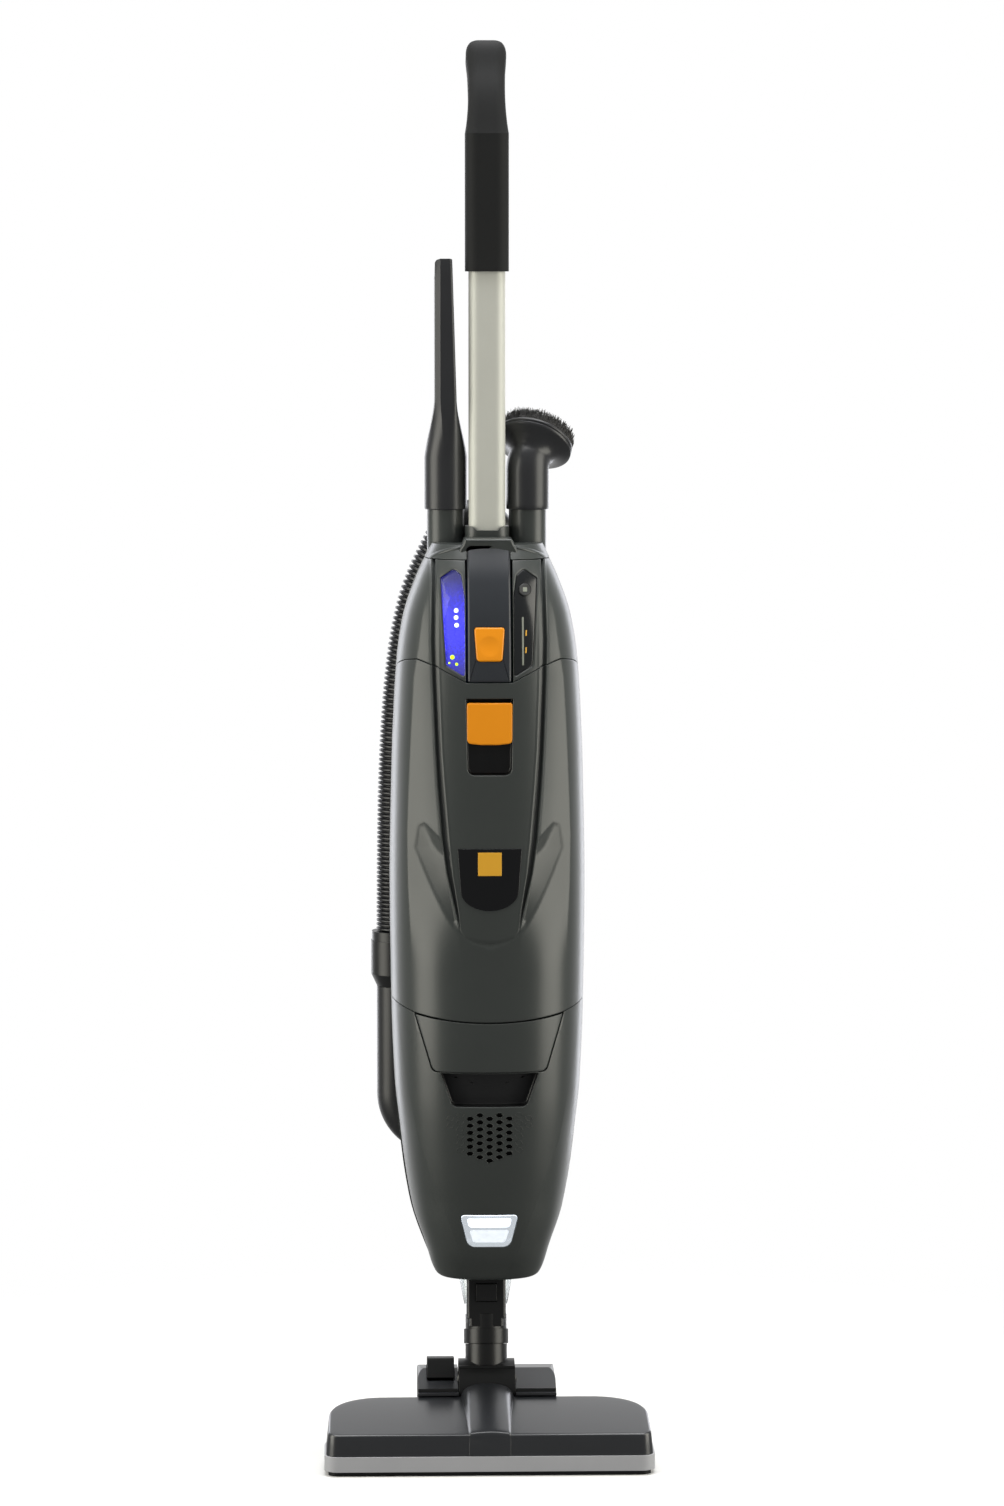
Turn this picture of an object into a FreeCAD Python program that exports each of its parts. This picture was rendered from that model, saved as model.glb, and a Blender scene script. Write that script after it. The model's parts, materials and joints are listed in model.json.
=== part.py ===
# Upright vacuum cleaner: floor nozzle, tilting and swivelling neck, slim body with bag and motor,
# stretch hose, tube handle and two tools on posts.
# Millimetres. +Z is up, the front faces -Y, +X is to the right of someone who looks at the front.
# The origin is on the floor, in the middle of the nozzle's width.
import FreeCAD, Part
import math
import os

V = FreeCAD.Vector

# Clearances
GAP = 0.4  # seam between neighbouring mouldings
SEAT = 0.3  # from a piece to the seat that carries it
RUNNING = 0.06  # radial clearance of a pin or shaft in its bore

# Floor nozzle
NOZZLE_WIDTH = 282.0  # over the bumper
NOZZLE_FRONT = 96.5  # from the origin forward to the bumper's face
NOZZLE_REAR = 0.0  # the bumper's rear face
BUMPER_THICK = 3.5
BUMPER_BOTTOM = 4.0
BUMPER_TOP = 17.0
FRONT_CORNER = 12.0  # plan radius of the bumper's front corners
REAR_CORNER = 49.0  # plan radius of its rear corners
SOLE_THICK = 5.0
SOLE_RIM = 3.0
SOLE_TONGUE_HALF = 32.0
SOLE_TONGUE_REACH = 16.0  # how far the tongue runs under the wheel carrier
HOOD_WALL = 2.5
HOOD_OVERHANG = 2.0  # the hood's foot stands this far outside the sole
HOOD_DRAFT = 5.0  # each side leans in by this much towards the top
HOOD_CROWN = 3.5  # the top falls by this much from the middle to either side
HOOD_CREASE = 35.5  # height of the crease above the front face
HOOD_TOP = 50.0  # height at the rear edge
CHANNEL_FRONT_HALF = 18.0  # half width of the raised air channel at the front
CHANNEL_REAR_HALF = 24.5
CHANNEL_FRONT_TOP = 37.5
CHANNEL_REAR_TOP = 64.0

# Suction slot and brush strips
SLOT_LENGTH = 240.0
SLOT_WIDTH = 14.0
SLOT_Y = -61.0
STRIP_LENGTH = 250.0
STRIP_THICK = 5.0
STRIP_FRONT_Y = -82.0
STRIP_REAR_Y = -39.0
STRIP_TRAVEL = 4.5  # how far the pedal lowers the strips
STRIP_LIFT = 0.8  # bristle tips above the floor when raised
CARRIAGE_BOTTOM = 10.0
CARRIAGE_THICK = 3.0

# Knuckle and neck
PIVOT_Y = 25.0
PIVOT_Z = 51.0
KNUCKLE_R = 25.0
KNUCKLE_HALF = 24.4
KNUCKLE_WALL = 3.0
TRUNNION_R = 5.0
TRUNNION_LENGTH = 4.4
SADDLE_THICK = 2.6
NECK_LEAN = 12.0  # degrees that the neck leans back
NECK_R = 18.15
STUB_END = 37.7  # distances along the neck from the pivot
COLLAR_LENGTH = 12.8
COLLAR_R = 19.4
SPIGOT_R = 15.5
SPIGOT_LENGTH = 22.0
SPIGOT_WALL = 2.0
NECK_WIDTH = 34.0
NECK_STEP = 63.4
NECK_PLATE_THICK = 13.0
NECK_SPLIT = 72.0  # above this only the front plate goes on
LATCH_LOW = 73.8
LATCH_HIGH = 89.5
LATCH_WIDTH = 18.0
LATCH_PROUD = 2.2
LATCH_TRAVEL = 2.0

# Wheel carrier, wheels, pedal
CARRIER_HALF = 60.0
CARRIER_DEPTH = 68.0  # from the nozzle's rear face
CARRIER_TOP = 66.5
CARRIER_FRONT_TOP = 54.0
BRIDGE_TOP = 11.0
WHEEL_R = 12.0
WHEEL_WIDTH = 14.0
WHEEL_X = 43.0
WHEEL_Y = 52.0
AXLE_R = 3.0
PEDAL_X = -40.0
PEDAL_WIDTH = 23.4
PEDAL_LENGTH = 38.0
PEDAL_TOP = 78.5
PEDAL_AXIS_Y = 50.0
PEDAL_AXIS_Z = 62.5
PEDAL_PIN_R = 2.0
PEDAL_POCKET = 57.2

# Body mouldings
WALL = 3.0
BODY_BOTTOM = 160.0
BODY_TOP = 790.0
BODY_BACK = 42.0  # back face behind the widest line
PARTING_Y = 6.0  # the front mouldings meet the rear housing here
HEAD_SEAM_Z = 778.0
FRONT_FULLNESS = 2.5  # exponents of the section's front and back halves
BACK_FULLNESS = 4.5
# Height above the body's bottom, half width, reach of the front face
BODY_PROFILE = [
    (0.0, 43.4, 50.5),
    (25.0, 54.6, 62.5),
    (60.0, 66.3, 71.5),
    (108.0, 74.0, 79.2),
    (165.0, 79.4, 84.8),
    (235.0, 82.3, 88.0),
    (340.0, 83.6, 90.0),
    (440.0, 81.9, 88.6),
    (495.0, 79.7, 86.6),
    (537.0, 76.7, 82.6),
    (570.0, 71.2, 75.8),
    (600.0, 61.0, 64.5),
    (630.0, 47.0, 46.0),
]
SECTION_POINTS = 28

# Seams on the front, as half outlines (x, z) from the middle outwards. Beyond the last point the upper
# seam follows a circle about the door's hinge, so that the door swings clear of the head
UPPER_SEAM = [(19.5, 676.2), (43.5, 688.5), (61.0, 694.5)]
LOWER_SEAM_MIDDLE = 387.7
DOOR_HINGE_Y = -88.3
DOOR_HINGE_Z = 387.9
LOWER_SEAM_SHOULDER = (62.0, 393.6)
LOWER_SEAM_END = (83.0, 401.0)

# Decks inside the rear housing (undersides)
DECK_THICK = 3.0
MOTOR_DECK = 196.0
FAN_DECK = 346.0
BAG_DECK = 394.0
HEAD_DECK = 668.5

# Exhaust filter cover, finger recess, grille, headlight
COVER_TOP_HALF = 63.0
COVER_BOTTOM_HALF = 48.0
COVER_BOTTOM = 345.0
COVER_TRAVEL = 30.0
RECESS_TOP = 344.0
RECESS_BOTTOM = 315.5
RECESS_TOP_HALF = 41.5
RECESS_BOTTOM_HALF = 31.5
RECESS_DEPTH = 13.0
GRILLE_PITCH_X = 8.3
GRILLE_PITCH_Z = 6.1
GRILLE_TOP = 305.4
GRILLE_HOLE = (6.0, 3.1)
GRILLE_ROWS = [7, 7, 6]  # holes in the middle column and the ones beside it
LENS_TOP = 220.4
LENS_BOTTOM = 191.6
LENS_TOP_HALF = 25.0
LENS_BOTTOM_HALF = 18.0

# Bag door, latch, badge
LATCH_RECESS_HALF = 19.8
LATCH_RECESS_TOP = 662.8
LATCH_RECESS_BOTTOM = 598.4
LATCH_RECESS_DEPTH = 15.0
TAB_TOP = 659.4
TAB_BOTTOM = 624.0
TAB_THICK = 5.0
TAB_PIN_DEPTH = 3.6  # from the door's face back to the tab's pin
TAB_PIN_R = 1.6
BADGE_TOP = 536.5
BADGE_BOTTOM = 483.8
BADGE_HALF = 27.2
BADGE_THICK = 0.8
DOOR_HOOK_X = 42.0
DOOR_HOOK_WIDTH = 12.0
DOOR_HOOK_ROOM = 7.4  # depth, from the body's face, that the hooks need to swing

# Head: panel, buttons, windows
PANEL_HALF = 18.3
PANEL_PROUD = 0.6
PANEL_TOP = 789.0
POWER_TOP = 722.6
POWER_BOTTOM = 694.1
POWER_TOP_HALF = 13.0
POWER_BOTTOM_HALF = 10.9
POWER_TRAVEL = 2.5
POWER_PLAY = 1.2  # the button's back leans with the body, so its upper edge comes first
ROUND_BUTTON_X = 30.3
ROUND_BUTTON_Z = 753.5
ROUND_BUTTON_R = 5.0
ROUND_BUTTON_TRAVEL = 1.0
# Right window outline (x, z); the left one is its mirror image
WINDOW = [(20.6, 681.0), (36.4, 690.6), (39.6, 744.0), (40.6, 762.8), (29.2, 770.6), (23.4, 765.4), (20.8, 747.6)]

# Tube, posts, handle
TUBE_WIDTH = 31.2
TUBE_DEPTH = 26.0
TUBE_CORNER = 9.0
TUBE_WALL = 1.5
TUBE_BOTTOM = 742.0
TUBE_TOP = 1112.0
COLLAR_TOP = 804.1
COLLAR_WALL = 3.0
COLLAR_NOTCH = 3.2
POST_X = 35.0
POST_Y = 10.0
POST_R = 16.0
POST_TOP = 836.0
SLEEVE_BOTTOM = 1020.5
SLEEVE_TOP = 1137.0
SLEEVE_WIDTH = 37.2
SLEEVE_DEPTH = 32.0
SLEEVE_CORNER = 11.0
GRIP_LENGTH = 81.5
GRIP_LEAN = 30.0
# Distance along the grip as a share of its length, width, depth
GRIP_SECTIONS = [(0.0, 37.2, 32.0), (0.14, 34.0, 30.4), (0.36, 31.6, 29.0), (0.58, 31.8, 29.4),
                 (0.80, 34.0, 31.0), (0.93, 34.0, 30.6), (1.0, 30.0, 26.0)]

# Tools
TOOL_RIM = 804.5
TOOL_R = 18.15
SOCKET_DEPTH = 34.0
CREVICE_TOP = 1035.0
CREVICE_SHOULDER = 862.0
CREVICE_NECK = 900.0
CREVICE_THICK = 17.0
CREVICE_DEPTH = 46.0
CREVICE_WALL = 1.8
CREVICE_SHIFT = 0.4  # the blade stands this much further out than its socket
TOOL_TRAVEL = 40.0
BRUSH_R = 33.0
BRUSH_FACING = V(0.27, 0.57, 0.78)  # the way the bristles point
BRUSH_KNEE = 852.0  # height where the socket starts to bend
BRUSH_KNEE_R = 18.0
BRUSH_BELL = 13.0
BRUSH_RIM_THICK = 6.0
BRISTLE_LENGTH = 14.0

# Hose, duct, clear elbow
HOSE_R = 19.0
HOSE_WALL = 3.0
CUFF_R = 23.5
CUFF_BOTTOM = 400.0
CUFF_TAPER_TOP = 410.5
CUFF_TOP = 448.0
DUCT_R = 18.5
DUCT_WALL = 2.2
DUCT_Y = 62.0
DUCT_SPIGOT = 24.0
DUCT_BEND_Z = 287.0
DUCT_LOW_Z = 232.0
DUCT_BEND_R = 36.0
ELBOW_BOTTOM = 115.0
ELBOW_WALL = 2.0
# Points of the hose's middle line from the cuff up to the elbow behind the head
HOSE_ROUTE = [
    V(-76.0, 62.0, 448.2), V(-75.7, 62.1, 505.0), V(-75.0, 62.4, 561.0), V(-72.9, 63.0, 617.0),
    V(-69.0, 64.0, 671.0), V(-62.0, 65.2, 719.0), V(-50.0, 66.2, 758.6), V(-31.5, 66.5, 793.0),
]
HOSE_ELBOW_R = 24.0
HOSE_ELBOW_TUBE = 17.5
PORT_R = 21.5
PORT_BOTTOM = 612.0
PORT_TOP = 774.0

# Cable hooks and gland on the back
HOOK_WIDTH = 12.0
HOOK_REACH = 26.0
HOOK_RISE = 34.0
HOOK_THICK = 6.0
HOOK_BASE_R = 13.0
UPPER_HOOK_Z = 1062.0
LOWER_HOOK_Z = 350.0
LOWER_HOOK_X = 14.0
GLAND_X = 50.0
GLAND_Z = 735.0
GLAND_R = 8.0
GLAND_LENGTH = 16.0

# Dust bag and filters
BAG_BOTTOM = 414.0
BAG_TOP = 664.0
BAG_HALF = 60.0
BAG_FRONT = -66.0
BAG_PLATE_HALF = 32.0
BAG_PLATE_THICK = 2.5
BAG_MOUTH_R = 17.0
BAG_PAPER = 1.2
MOTOR_FILTER_HALF = 46.0
MOTOR_FILTER_THICK = 14.0
EXHAUST_FILTER_THICK = 14.0

# Suction motor
MOTOR_Y = -12.0
FAN_R = 50.0
FAN_BOTTOM = 298.0
FAN_TOP = 340.0
FAN_INLET_R = 15.0
IMPELLER_R = 44.0
BLADES = 9
MOTOR_R = 38.0
MOTOR_BOTTOM = 205.0
MOTOR_WALL = 2.5
STATOR_R = 34.0
ARMATURE_R = 19.5
AIR_GAP = 0.8
SHAFT_R = 4.0
BEARING_R = 10.0
BEARING_WIDTH = 7.0

os.makedirs("parts", exist_ok=True)


# General helpers

def save(name, shape):
    shape.exportStep("parts/" + name + ".step")


def box(x0, x1, y0, y1, z0, z1):
    return Part.makeBox(x1 - x0, y1 - y0, z1 - z0, V(x0, y0, z0))


def cyl(radius, length, start, direction=V(0, 0, 1)):
    return Part.makeCylinder(radius, length, start, direction)


def cone(r0, r1, length, start, direction=V(0, 0, 1)):
    return Part.makeCone(r0, r1, length, start, direction)


def ring(r_out, r_in, length, start, direction=V(0, 0, 1)):
    return cyl(r_out, length, start, direction).cut(cyl(r_in, length, start, direction))


def join(shapes):
    return shapes[0].fuse(shapes[1:])


def in_xz(y):
    return lambda u, v: V(u, y, v)


def in_xy(z):
    return lambda u, v: V(u, v, z)


def in_yz(x):
    return lambda u, v: V(x, u, v)


# Closed outline through the points, with each corner rounded by its radius (0 leaves it sharp)
def outline(points, radii, place):
    count = len(points)
    if not isinstance(radii, (list, tuple)):
        radii = [radii] * count
    stops = []
    for i, radius in enumerate(radii):
        here = V(points[i][0], points[i][1], 0)
        before = V(points[i - 1][0], points[i - 1][1], 0) - here
        after = V(points[(i + 1) % count][0], points[(i + 1) % count][1], 0) - here
        if radius <= 0:
            stops.append((here, None, here))
            continue
        half = before.getAngle(after) / 2
        before.normalize()
        after.normalize()
        reach = radius / math.tan(half)
        middle = before + after
        middle.normalize()
        top = here + middle * (radius / math.sin(half) - radius)
        stops.append((here + before * reach, top, here + after * reach))
    edges = []
    for i, (start, top, end) in enumerate(stops):
        if top is not None:
            arc = Part.Arc(place(start.x, start.y), place(top.x, top.y), place(end.x, end.y))
            edges.append(arc.toShape())
        following = stops[(i + 1) % count][0]
        if (following - end).Length > 1e-6:
            edges.append(Part.LineSegment(place(end.x, end.y), place(following.x, following.y)).toShape())
    return Part.Wire(edges)


def prism_xz(points, radii, y0, y1):
    return Part.Face(outline(points, radii, in_xz(y0))).extrude(V(0, y1 - y0, 0))


def prism_xy(points, radii, z0, z1):
    return Part.Face(outline(points, radii, in_xy(z0))).extrude(V(0, 0, z1 - z0))


def prism_yz(points, radii, x0, x1):
    return Part.Face(outline(points, radii, in_yz(x0))).extrude(V(x1 - x0, 0, 0))


def rectangle(half_x, y0, y1):
    return [(-half_x, y0), (half_x, y0), (half_x, y1), (-half_x, y1)]


def rounded_bar(width, depth, corner, x, y, z0, z1):
    points = [(x - width / 2, y - depth / 2), (x + width / 2, y - depth / 2),
              (x + width / 2, y + depth / 2), (x - width / 2, y + depth / 2)]
    return prism_xy(points, corner, z0, z1)


def mirror_x(points):
    return [(-x, z) for x, z in reversed(points)]


# The body's form

# Smooth value between the stations of a profile, with no overshoot
def along_profile(stations, column, height):
    heights = [s[0] for s in stations]
    values = [s[column] for s in stations]
    if height <= heights[0]:
        return values[0]
    if height >= heights[-1]:
        return values[-1]
    slopes = [(values[i + 1] - values[i]) / (heights[i + 1] - heights[i]) for i in range(len(values) - 1)]
    tangents = [slopes[0]]
    for a, b in zip(slopes, slopes[1:]):
        tangents.append(0.0 if a * b <= 0 else 2 * a * b / (a + b))
    tangents.append(slopes[-1])
    i = max(k for k in range(len(heights) - 1) if heights[k] <= height)
    step = heights[i + 1] - heights[i]
    t = (height - heights[i]) / step
    return ((2 * t ** 3 - 3 * t ** 2 + 1) * values[i] + (t ** 3 - 2 * t ** 2 + t) * step * tangents[i]
            + (3 * t ** 2 - 2 * t ** 3) * values[i + 1] + (t ** 3 - t ** 2) * step * tangents[i + 1])


PROFILE_HEIGHT = BODY_PROFILE[-1][0]


def profile_height(z):
    return (z - BODY_BOTTOM) * PROFILE_HEIGHT / (BODY_TOP - BODY_BOTTOM)


def half_width(z):
    return along_profile(BODY_PROFILE, 1, profile_height(z))


def front_reach(z):
    return along_profile(BODY_PROFILE, 2, profile_height(z))


# y of the front face at a place on it
def front_y(x, z, inset=0.0):
    share = min(abs(x) / (half_width(z) - inset), 1.0)
    return -(front_reach(z) - inset) * (1 - share ** FRONT_FULLNESS) ** (1 / FRONT_FULLNESS)


def body_section(z, inset):
    half = half_width(z) - inset
    front = front_reach(z) - inset
    back = BODY_BACK - inset
    points = []
    for i in range(SECTION_POINTS):
        angle = 2 * math.pi * i / SECTION_POINTS
        c = math.cos(angle)
        s = math.sin(angle)
        fullness = FRONT_FULLNESS if s < 0 else BACK_FULLNESS
        reach = front if s < 0 else back
        x = half * math.copysign(abs(c) ** (2 / fullness), c)
        y = reach * math.copysign(abs(s) ** (2 / fullness), s)
        points.append(V(x, y, z))
    curve = Part.BSplineCurve()
    curve.interpolate(Points=points, PeriodicFlag=True)
    return Part.Wire(curve.toShape())


SECTION_SPACING = 40.0  # between the sections of a loft
HEAD_SPACING = 22.0
HEAD_CURVE_Z = 750.0
body_cache = {}


# Solid of the body's form, moved in by the inset on every side
def body_form(inset, z0=BODY_BOTTOM, z1=BODY_TOP):
    key = (inset, z0, z1)
    if key not in body_cache:
        spacing = SECTION_SPACING if z1 < HEAD_CURVE_Z else HEAD_SPACING
        count = max(3, round((z1 - z0) / spacing) + 1)
        heights = [z0 + (z1 - z0) * i / (count - 1) for i in range(count)]
        body_cache[key] = Part.makeLoft([body_section(z, inset) for z in heights], True, False)
    return body_cache[key].copy()


FAR = 130.0  # beyond the body on every side
SEAM_ROOM = 12.0  # how far a moulding's form runs past its seam before it is trimmed
LOWER_FORM_TOP = LOWER_SEAM_END[1] + 2 * SEAM_ROOM
UPPER_FORM_BOTTOM = UPPER_SEAM[0][1] - SEAM_ROOM
HEAD_FORM = body_form(0.0, UPPER_FORM_BOTTOM, BODY_TOP)


# Shell of the body's form between two heights. It is closed where it meets the body's bottom or top
def shell_form(z0, z1):
    inner_low = BODY_BOTTOM + WALL if z0 == BODY_BOTTOM else z0 - 5
    inner_high = BODY_TOP - WALL if z1 == BODY_TOP else z1 + 5
    return body_form(0.0, z0, z1).cut(body_form(WALL, inner_low, inner_high))


def in_front(y):
    return box(-FAR, FAR, -FAR, y, 0, 2 * BODY_TOP)


def behind(y):
    return box(-FAR, FAR, y, FAR, 0, 2 * BODY_TOP)


def band(z0, z1):
    return box(-FAR, FAR, -FAR, FAR, z0, z1)


# Everything above the upper or lower seam, raised by the lift
def above_upper_seam(lift):
    half = [(x, z + lift) for x, z in UPPER_SEAM] + [(FAR, UPPER_SEAM[-1][1] + lift)]
    points = [(-x, z) for x, z in reversed(half)] + half + [(FAR, BODY_TOP + 50), (-FAR, BODY_TOP + 50)]
    return prism_xz(points, 0, -FAR, FAR)


def above_lower_seam(lift):
    place = in_xz(-FAR)
    shoulder_x, shoulder_z = LOWER_SEAM_SHOULDER
    end_x, end_z = LOWER_SEAM_END
    slope = (end_z - shoulder_z) / (end_x - shoulder_x)
    far_z = shoulder_z + slope * (FAR - shoulder_x)
    left = place(-shoulder_x, shoulder_z + lift)
    right = place(shoulder_x, shoulder_z + lift)
    corners = [right, place(FAR, far_z + lift), place(FAR, BODY_TOP + 50), place(-FAR, BODY_TOP + 50),
               place(-FAR, far_z + lift), left]
    edges = [Part.Arc(left, place(0, LOWER_SEAM_MIDDLE + lift), right).toShape()]
    edges += [Part.LineSegment(a, b).toShape() for a, b in zip(corners, corners[1:])]
    return Part.Face(Part.Wire(edges)).extrude(V(0, 2 * FAR, 0))


# Everything around the door's hinge up to the end of the upper seam, grown by the spare
def door_swing(spare):
    end_x, end_z = UPPER_SEAM[-1]
    radius = math.hypot(front_y(end_x, end_z) - DOOR_HINGE_Y, end_z - DOOR_HINGE_Z) + spare
    return cyl(radius, 2 * FAR, V(-FAR, DOOR_HINGE_Y, DOOR_HINGE_Z), V(1, 0, 0))


IN_FRONT = in_front(PARTING_Y - GAP / 2)
LOWER_SHELL = shell_form(BODY_BOTTOM, LOWER_FORM_TOP).common(IN_FRONT)
DOOR_FORM = body_form(0.0, LOWER_SEAM_MIDDLE - SEAM_ROOM, UPPER_SEAM[-1][1] + SEAM_ROOM)
DOOR_SHELL = shell_form(LOWER_SEAM_MIDDLE - SEAM_ROOM, UPPER_SEAM[-1][1] + SEAM_ROOM).common(IN_FRONT)
HEAD_SHELL = shell_form(UPPER_FORM_BOTTOM, BODY_TOP).common(IN_FRONT)
BELOW_HEAD = door_swing(GAP).cut(above_upper_seam(GAP))
UPPER_CUT = above_upper_seam(0)
LOWER_CUT = above_lower_seam(0)
LOWER_CUT_RAISED = above_lower_seam(GAP)


# Floor nozzle

def nozzle_plan(offset):
    half = NOZZLE_WIDTH / 2 - BUMPER_THICK + offset
    front = -NOZZLE_FRONT + BUMPER_THICK - offset
    rear = NOZZLE_REAR - BUMPER_THICK + offset
    rounding = offset - BUMPER_THICK
    radii = [FRONT_CORNER + rounding, FRONT_CORNER + rounding, REAR_CORNER + rounding, REAR_CORNER + rounding]
    return rectangle(half, front, rear), radii


def nozzle_block(offset, z0, z1):
    points, radii = nozzle_plan(offset)
    return prism_xy(points, radii, z0, z1)


# Hood with no channel, moved in by the inset
def hood_form(inset):
    foot, foot_radii = nozzle_plan(HOOD_OVERHANG - inset)
    head, head_radii = nozzle_plan(HOOD_OVERHANG - HOOD_DRAFT - inset)
    low = outline(foot, foot_radii, in_xy(BUMPER_TOP))
    high = outline(head, head_radii, in_xy(HOOD_TOP + 6))
    block = Part.makeLoft([low, high], True, True)
    front = -NOZZLE_FRONT - 10
    crease_y = -NOZZLE_FRONT + BUMPER_THICK + 1.0
    rear = NOZZLE_REAR + 10
    place = in_yz(-NOZZLE_WIDTH)
    crease = HOOD_CREASE - inset
    top = HOOD_TOP - inset
    arc = Part.Arc(place(crease_y, crease), place((crease_y + rear) / 2, crease + (top - crease) * 0.62),
                   place(rear, top))
    corners = [place(rear, top), place(rear, 0), place(front, 0), place(front, crease - 0.5),
               place(crease_y, crease)]
    edges = [arc.toShape()] + [Part.LineSegment(a, b).toShape() for a, b in zip(corners, corners[1:])]
    side = Part.Face(Part.Wire(edges)).extrude(V(2 * NOZZLE_WIDTH, 0, 0))
    half = NOZZLE_WIDTH / 2
    place = in_xz(-FAR)
    middle = HOOD_TOP + 1.0 - inset
    left = place(-half, middle - HOOD_CROWN)
    right = place(half, middle - HOOD_CROWN)
    edges = [Part.Arc(left, place(0, middle), right).toShape(),
             Part.LineSegment(right, place(half, 0)).toShape(),
             Part.LineSegment(place(half, 0), place(-half, 0)).toShape(),
             Part.LineSegment(place(-half, 0), left).toShape()]
    crown = Part.Face(Part.Wire(edges)).extrude(V(0, 2 * FAR, 0))
    return block.common(side).common(crown)


# Raised air channel over the hood, moved in by the inset
def channel_form(inset):
    front = -NOZZLE_FRONT + BUMPER_THICK - HOOD_OVERHANG + 0.6 + inset
    rear = PIVOT_Y - 12

    def arch(y, half, top):
        half -= inset
        top -= inset
        place = in_xz(y)
        shoulder = top - half * 0.55
        left = place(-half, shoulder)
        right = place(half, shoulder)
        edges = [Part.LineSegment(place(-half, BUMPER_TOP), left).toShape(),
                 Part.Arc(left, place(0, top), right).toShape(),
                 Part.LineSegment(right, place(half, BUMPER_TOP)).toShape(),
                 Part.LineSegment(place(half, BUMPER_TOP), place(-half, BUMPER_TOP)).toShape()]
        return Part.Wire(edges)

    return Part.makeLoft([arch(front, CHANNEL_FRONT_HALF, CHANNEL_FRONT_TOP),
                          arch(rear, CHANNEL_REAR_HALF, CHANNEL_REAR_TOP)], True, True)


def pivot_cylinder(radius, half):
    return cyl(radius, 2 * half, V(-half, PIVOT_Y, PIVOT_Z), V(1, 0, 0))


SADDLE_R = KNUCKLE_R + GAP + SADDLE_THICK


def nozzle_hood():
    outside = hood_form(0).fuse(channel_form(0))
    inside = hood_form(HOOD_WALL).fuse(channel_form(HOOD_WALL))
    below = nozzle_block(HOOD_OVERHANG - HOOD_WALL, BUMPER_TOP - 1, BUMPER_TOP)
    hood = outside.cut(inside).cut(below).cut(pivot_cylinder(SADDLE_R + SEAT, NOZZLE_WIDTH))
    return hood


def nozzle_bumper():
    ring_block = nozzle_block(BUMPER_THICK, BUMPER_BOTTOM, BUMPER_TOP).cut(nozzle_block(0, 0, BUMPER_TOP))
    gap = box(-CARRIER_HALF - GAP, CARRIER_HALF + GAP, NOZZLE_REAR - 20, FAR, 0, BUMPER_TOP)
    return ring_block.cut(gap)


def strip_slot(y, spare):
    half = STRIP_LENGTH / 2 + spare
    return box(-half, half, y - STRIP_THICK / 2 - spare, y + STRIP_THICK / 2 + spare, -1, SOLE_THICK + 1)


def sole_plate():
    plate = nozzle_block(0, 0, SOLE_THICK)
    rim = nozzle_block(0, SOLE_THICK, BUMPER_TOP).cut(nozzle_block(-SOLE_RIM, 0, BUMPER_TOP))
    slot = box(-SLOT_LENGTH / 2, SLOT_LENGTH / 2, SLOT_Y - SLOT_WIDTH / 2, SLOT_Y + SLOT_WIDTH / 2, -1, SOLE_THICK)
    channels = [strip_slot(STRIP_FRONT_Y, 0.6), strip_slot(STRIP_REAR_Y, 0.6)]
    knuckle_room = box(-KNUCKLE_HALF, KNUCKLE_HALF, NOZZLE_REAR - 12, FAR, SOLE_THICK, BUMPER_TOP + 1)
    tongue = box(-SOLE_TONGUE_HALF, SOLE_TONGUE_HALF, NOZZLE_REAR - BUMPER_THICK - 1,
                 NOZZLE_REAR + SOLE_TONGUE_REACH, 0, SOLE_THICK)
    return join([plate, rim, tongue]).cut([slot, knuckle_room] + channels)


CHAMBER_REAR = STRIP_REAR_Y - STRIP_THICK / 2 - 4.5
TUNNEL_HALF = 19.0


def intake_channel():
    wall = 1.6
    half = SLOT_LENGTH / 2 + wall
    front = SLOT_Y - SLOT_WIDTH / 2 - 4
    top = CARRIAGE_BOTTOM + CARRIAGE_THICK + 13
    chamber = box(-half, half, front, CHAMBER_REAR, SOLE_THICK, top)
    chamber_room = box(-half + wall, half - wall, front + wall, CHAMBER_REAR - wall, SOLE_THICK, top - wall)
    floor = CARRIAGE_BOTTOM + CARRIAGE_THICK + 1.5
    end = PIVOT_Y - SADDLE_R - 1.5
    rise = 11.0
    side = [(CHAMBER_REAR - wall, floor), (end, floor + rise), (end, top + rise), (CHAMBER_REAR - wall, top)]
    tunnel = prism_yz(side, 0, -TUNNEL_HALF, TUNNEL_HALF)
    room = [(CHAMBER_REAR - 3 * wall, floor + wall), (end + 1, floor + rise + wall), (end + 1, top + rise - wall),
            (CHAMBER_REAR - 3 * wall, top - wall)]
    tunnel_room = prism_yz(room, 0, -TUNNEL_HALF + wall, TUNNEL_HALF - wall)
    return join([chamber, tunnel]).cut([chamber_room, tunnel_room])


def hinge_saddle():
    half = KNUCKLE_HALF
    shell = pivot_cylinder(SADDLE_R, half).cut(pivot_cylinder(KNUCKLE_R + GAP, half))
    start = math.radians(127.0)
    end = math.radians(200.0)
    far = 60.0
    wedge = [(PIVOT_Y, PIVOT_Z)]
    for angle in (start, (start + end) / 2, end):
        wedge.append((PIVOT_Y + far * math.cos(angle), PIVOT_Z + far * math.sin(angle)))
    shell = shell.common(prism_yz(wedge, 0, -half, half))
    lip_angle = start + 0.06
    lip = V(0, math.cos(lip_angle), math.sin(lip_angle))
    centre = V(-half, PIVOT_Y, PIVOT_Z) + lip * (SADDLE_R - 0.2)
    return join([shell, cyl(1.6, 2 * half, centre, V(1, 0, 0)).common(prism_yz(wedge, 0, -half, half))])


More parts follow.
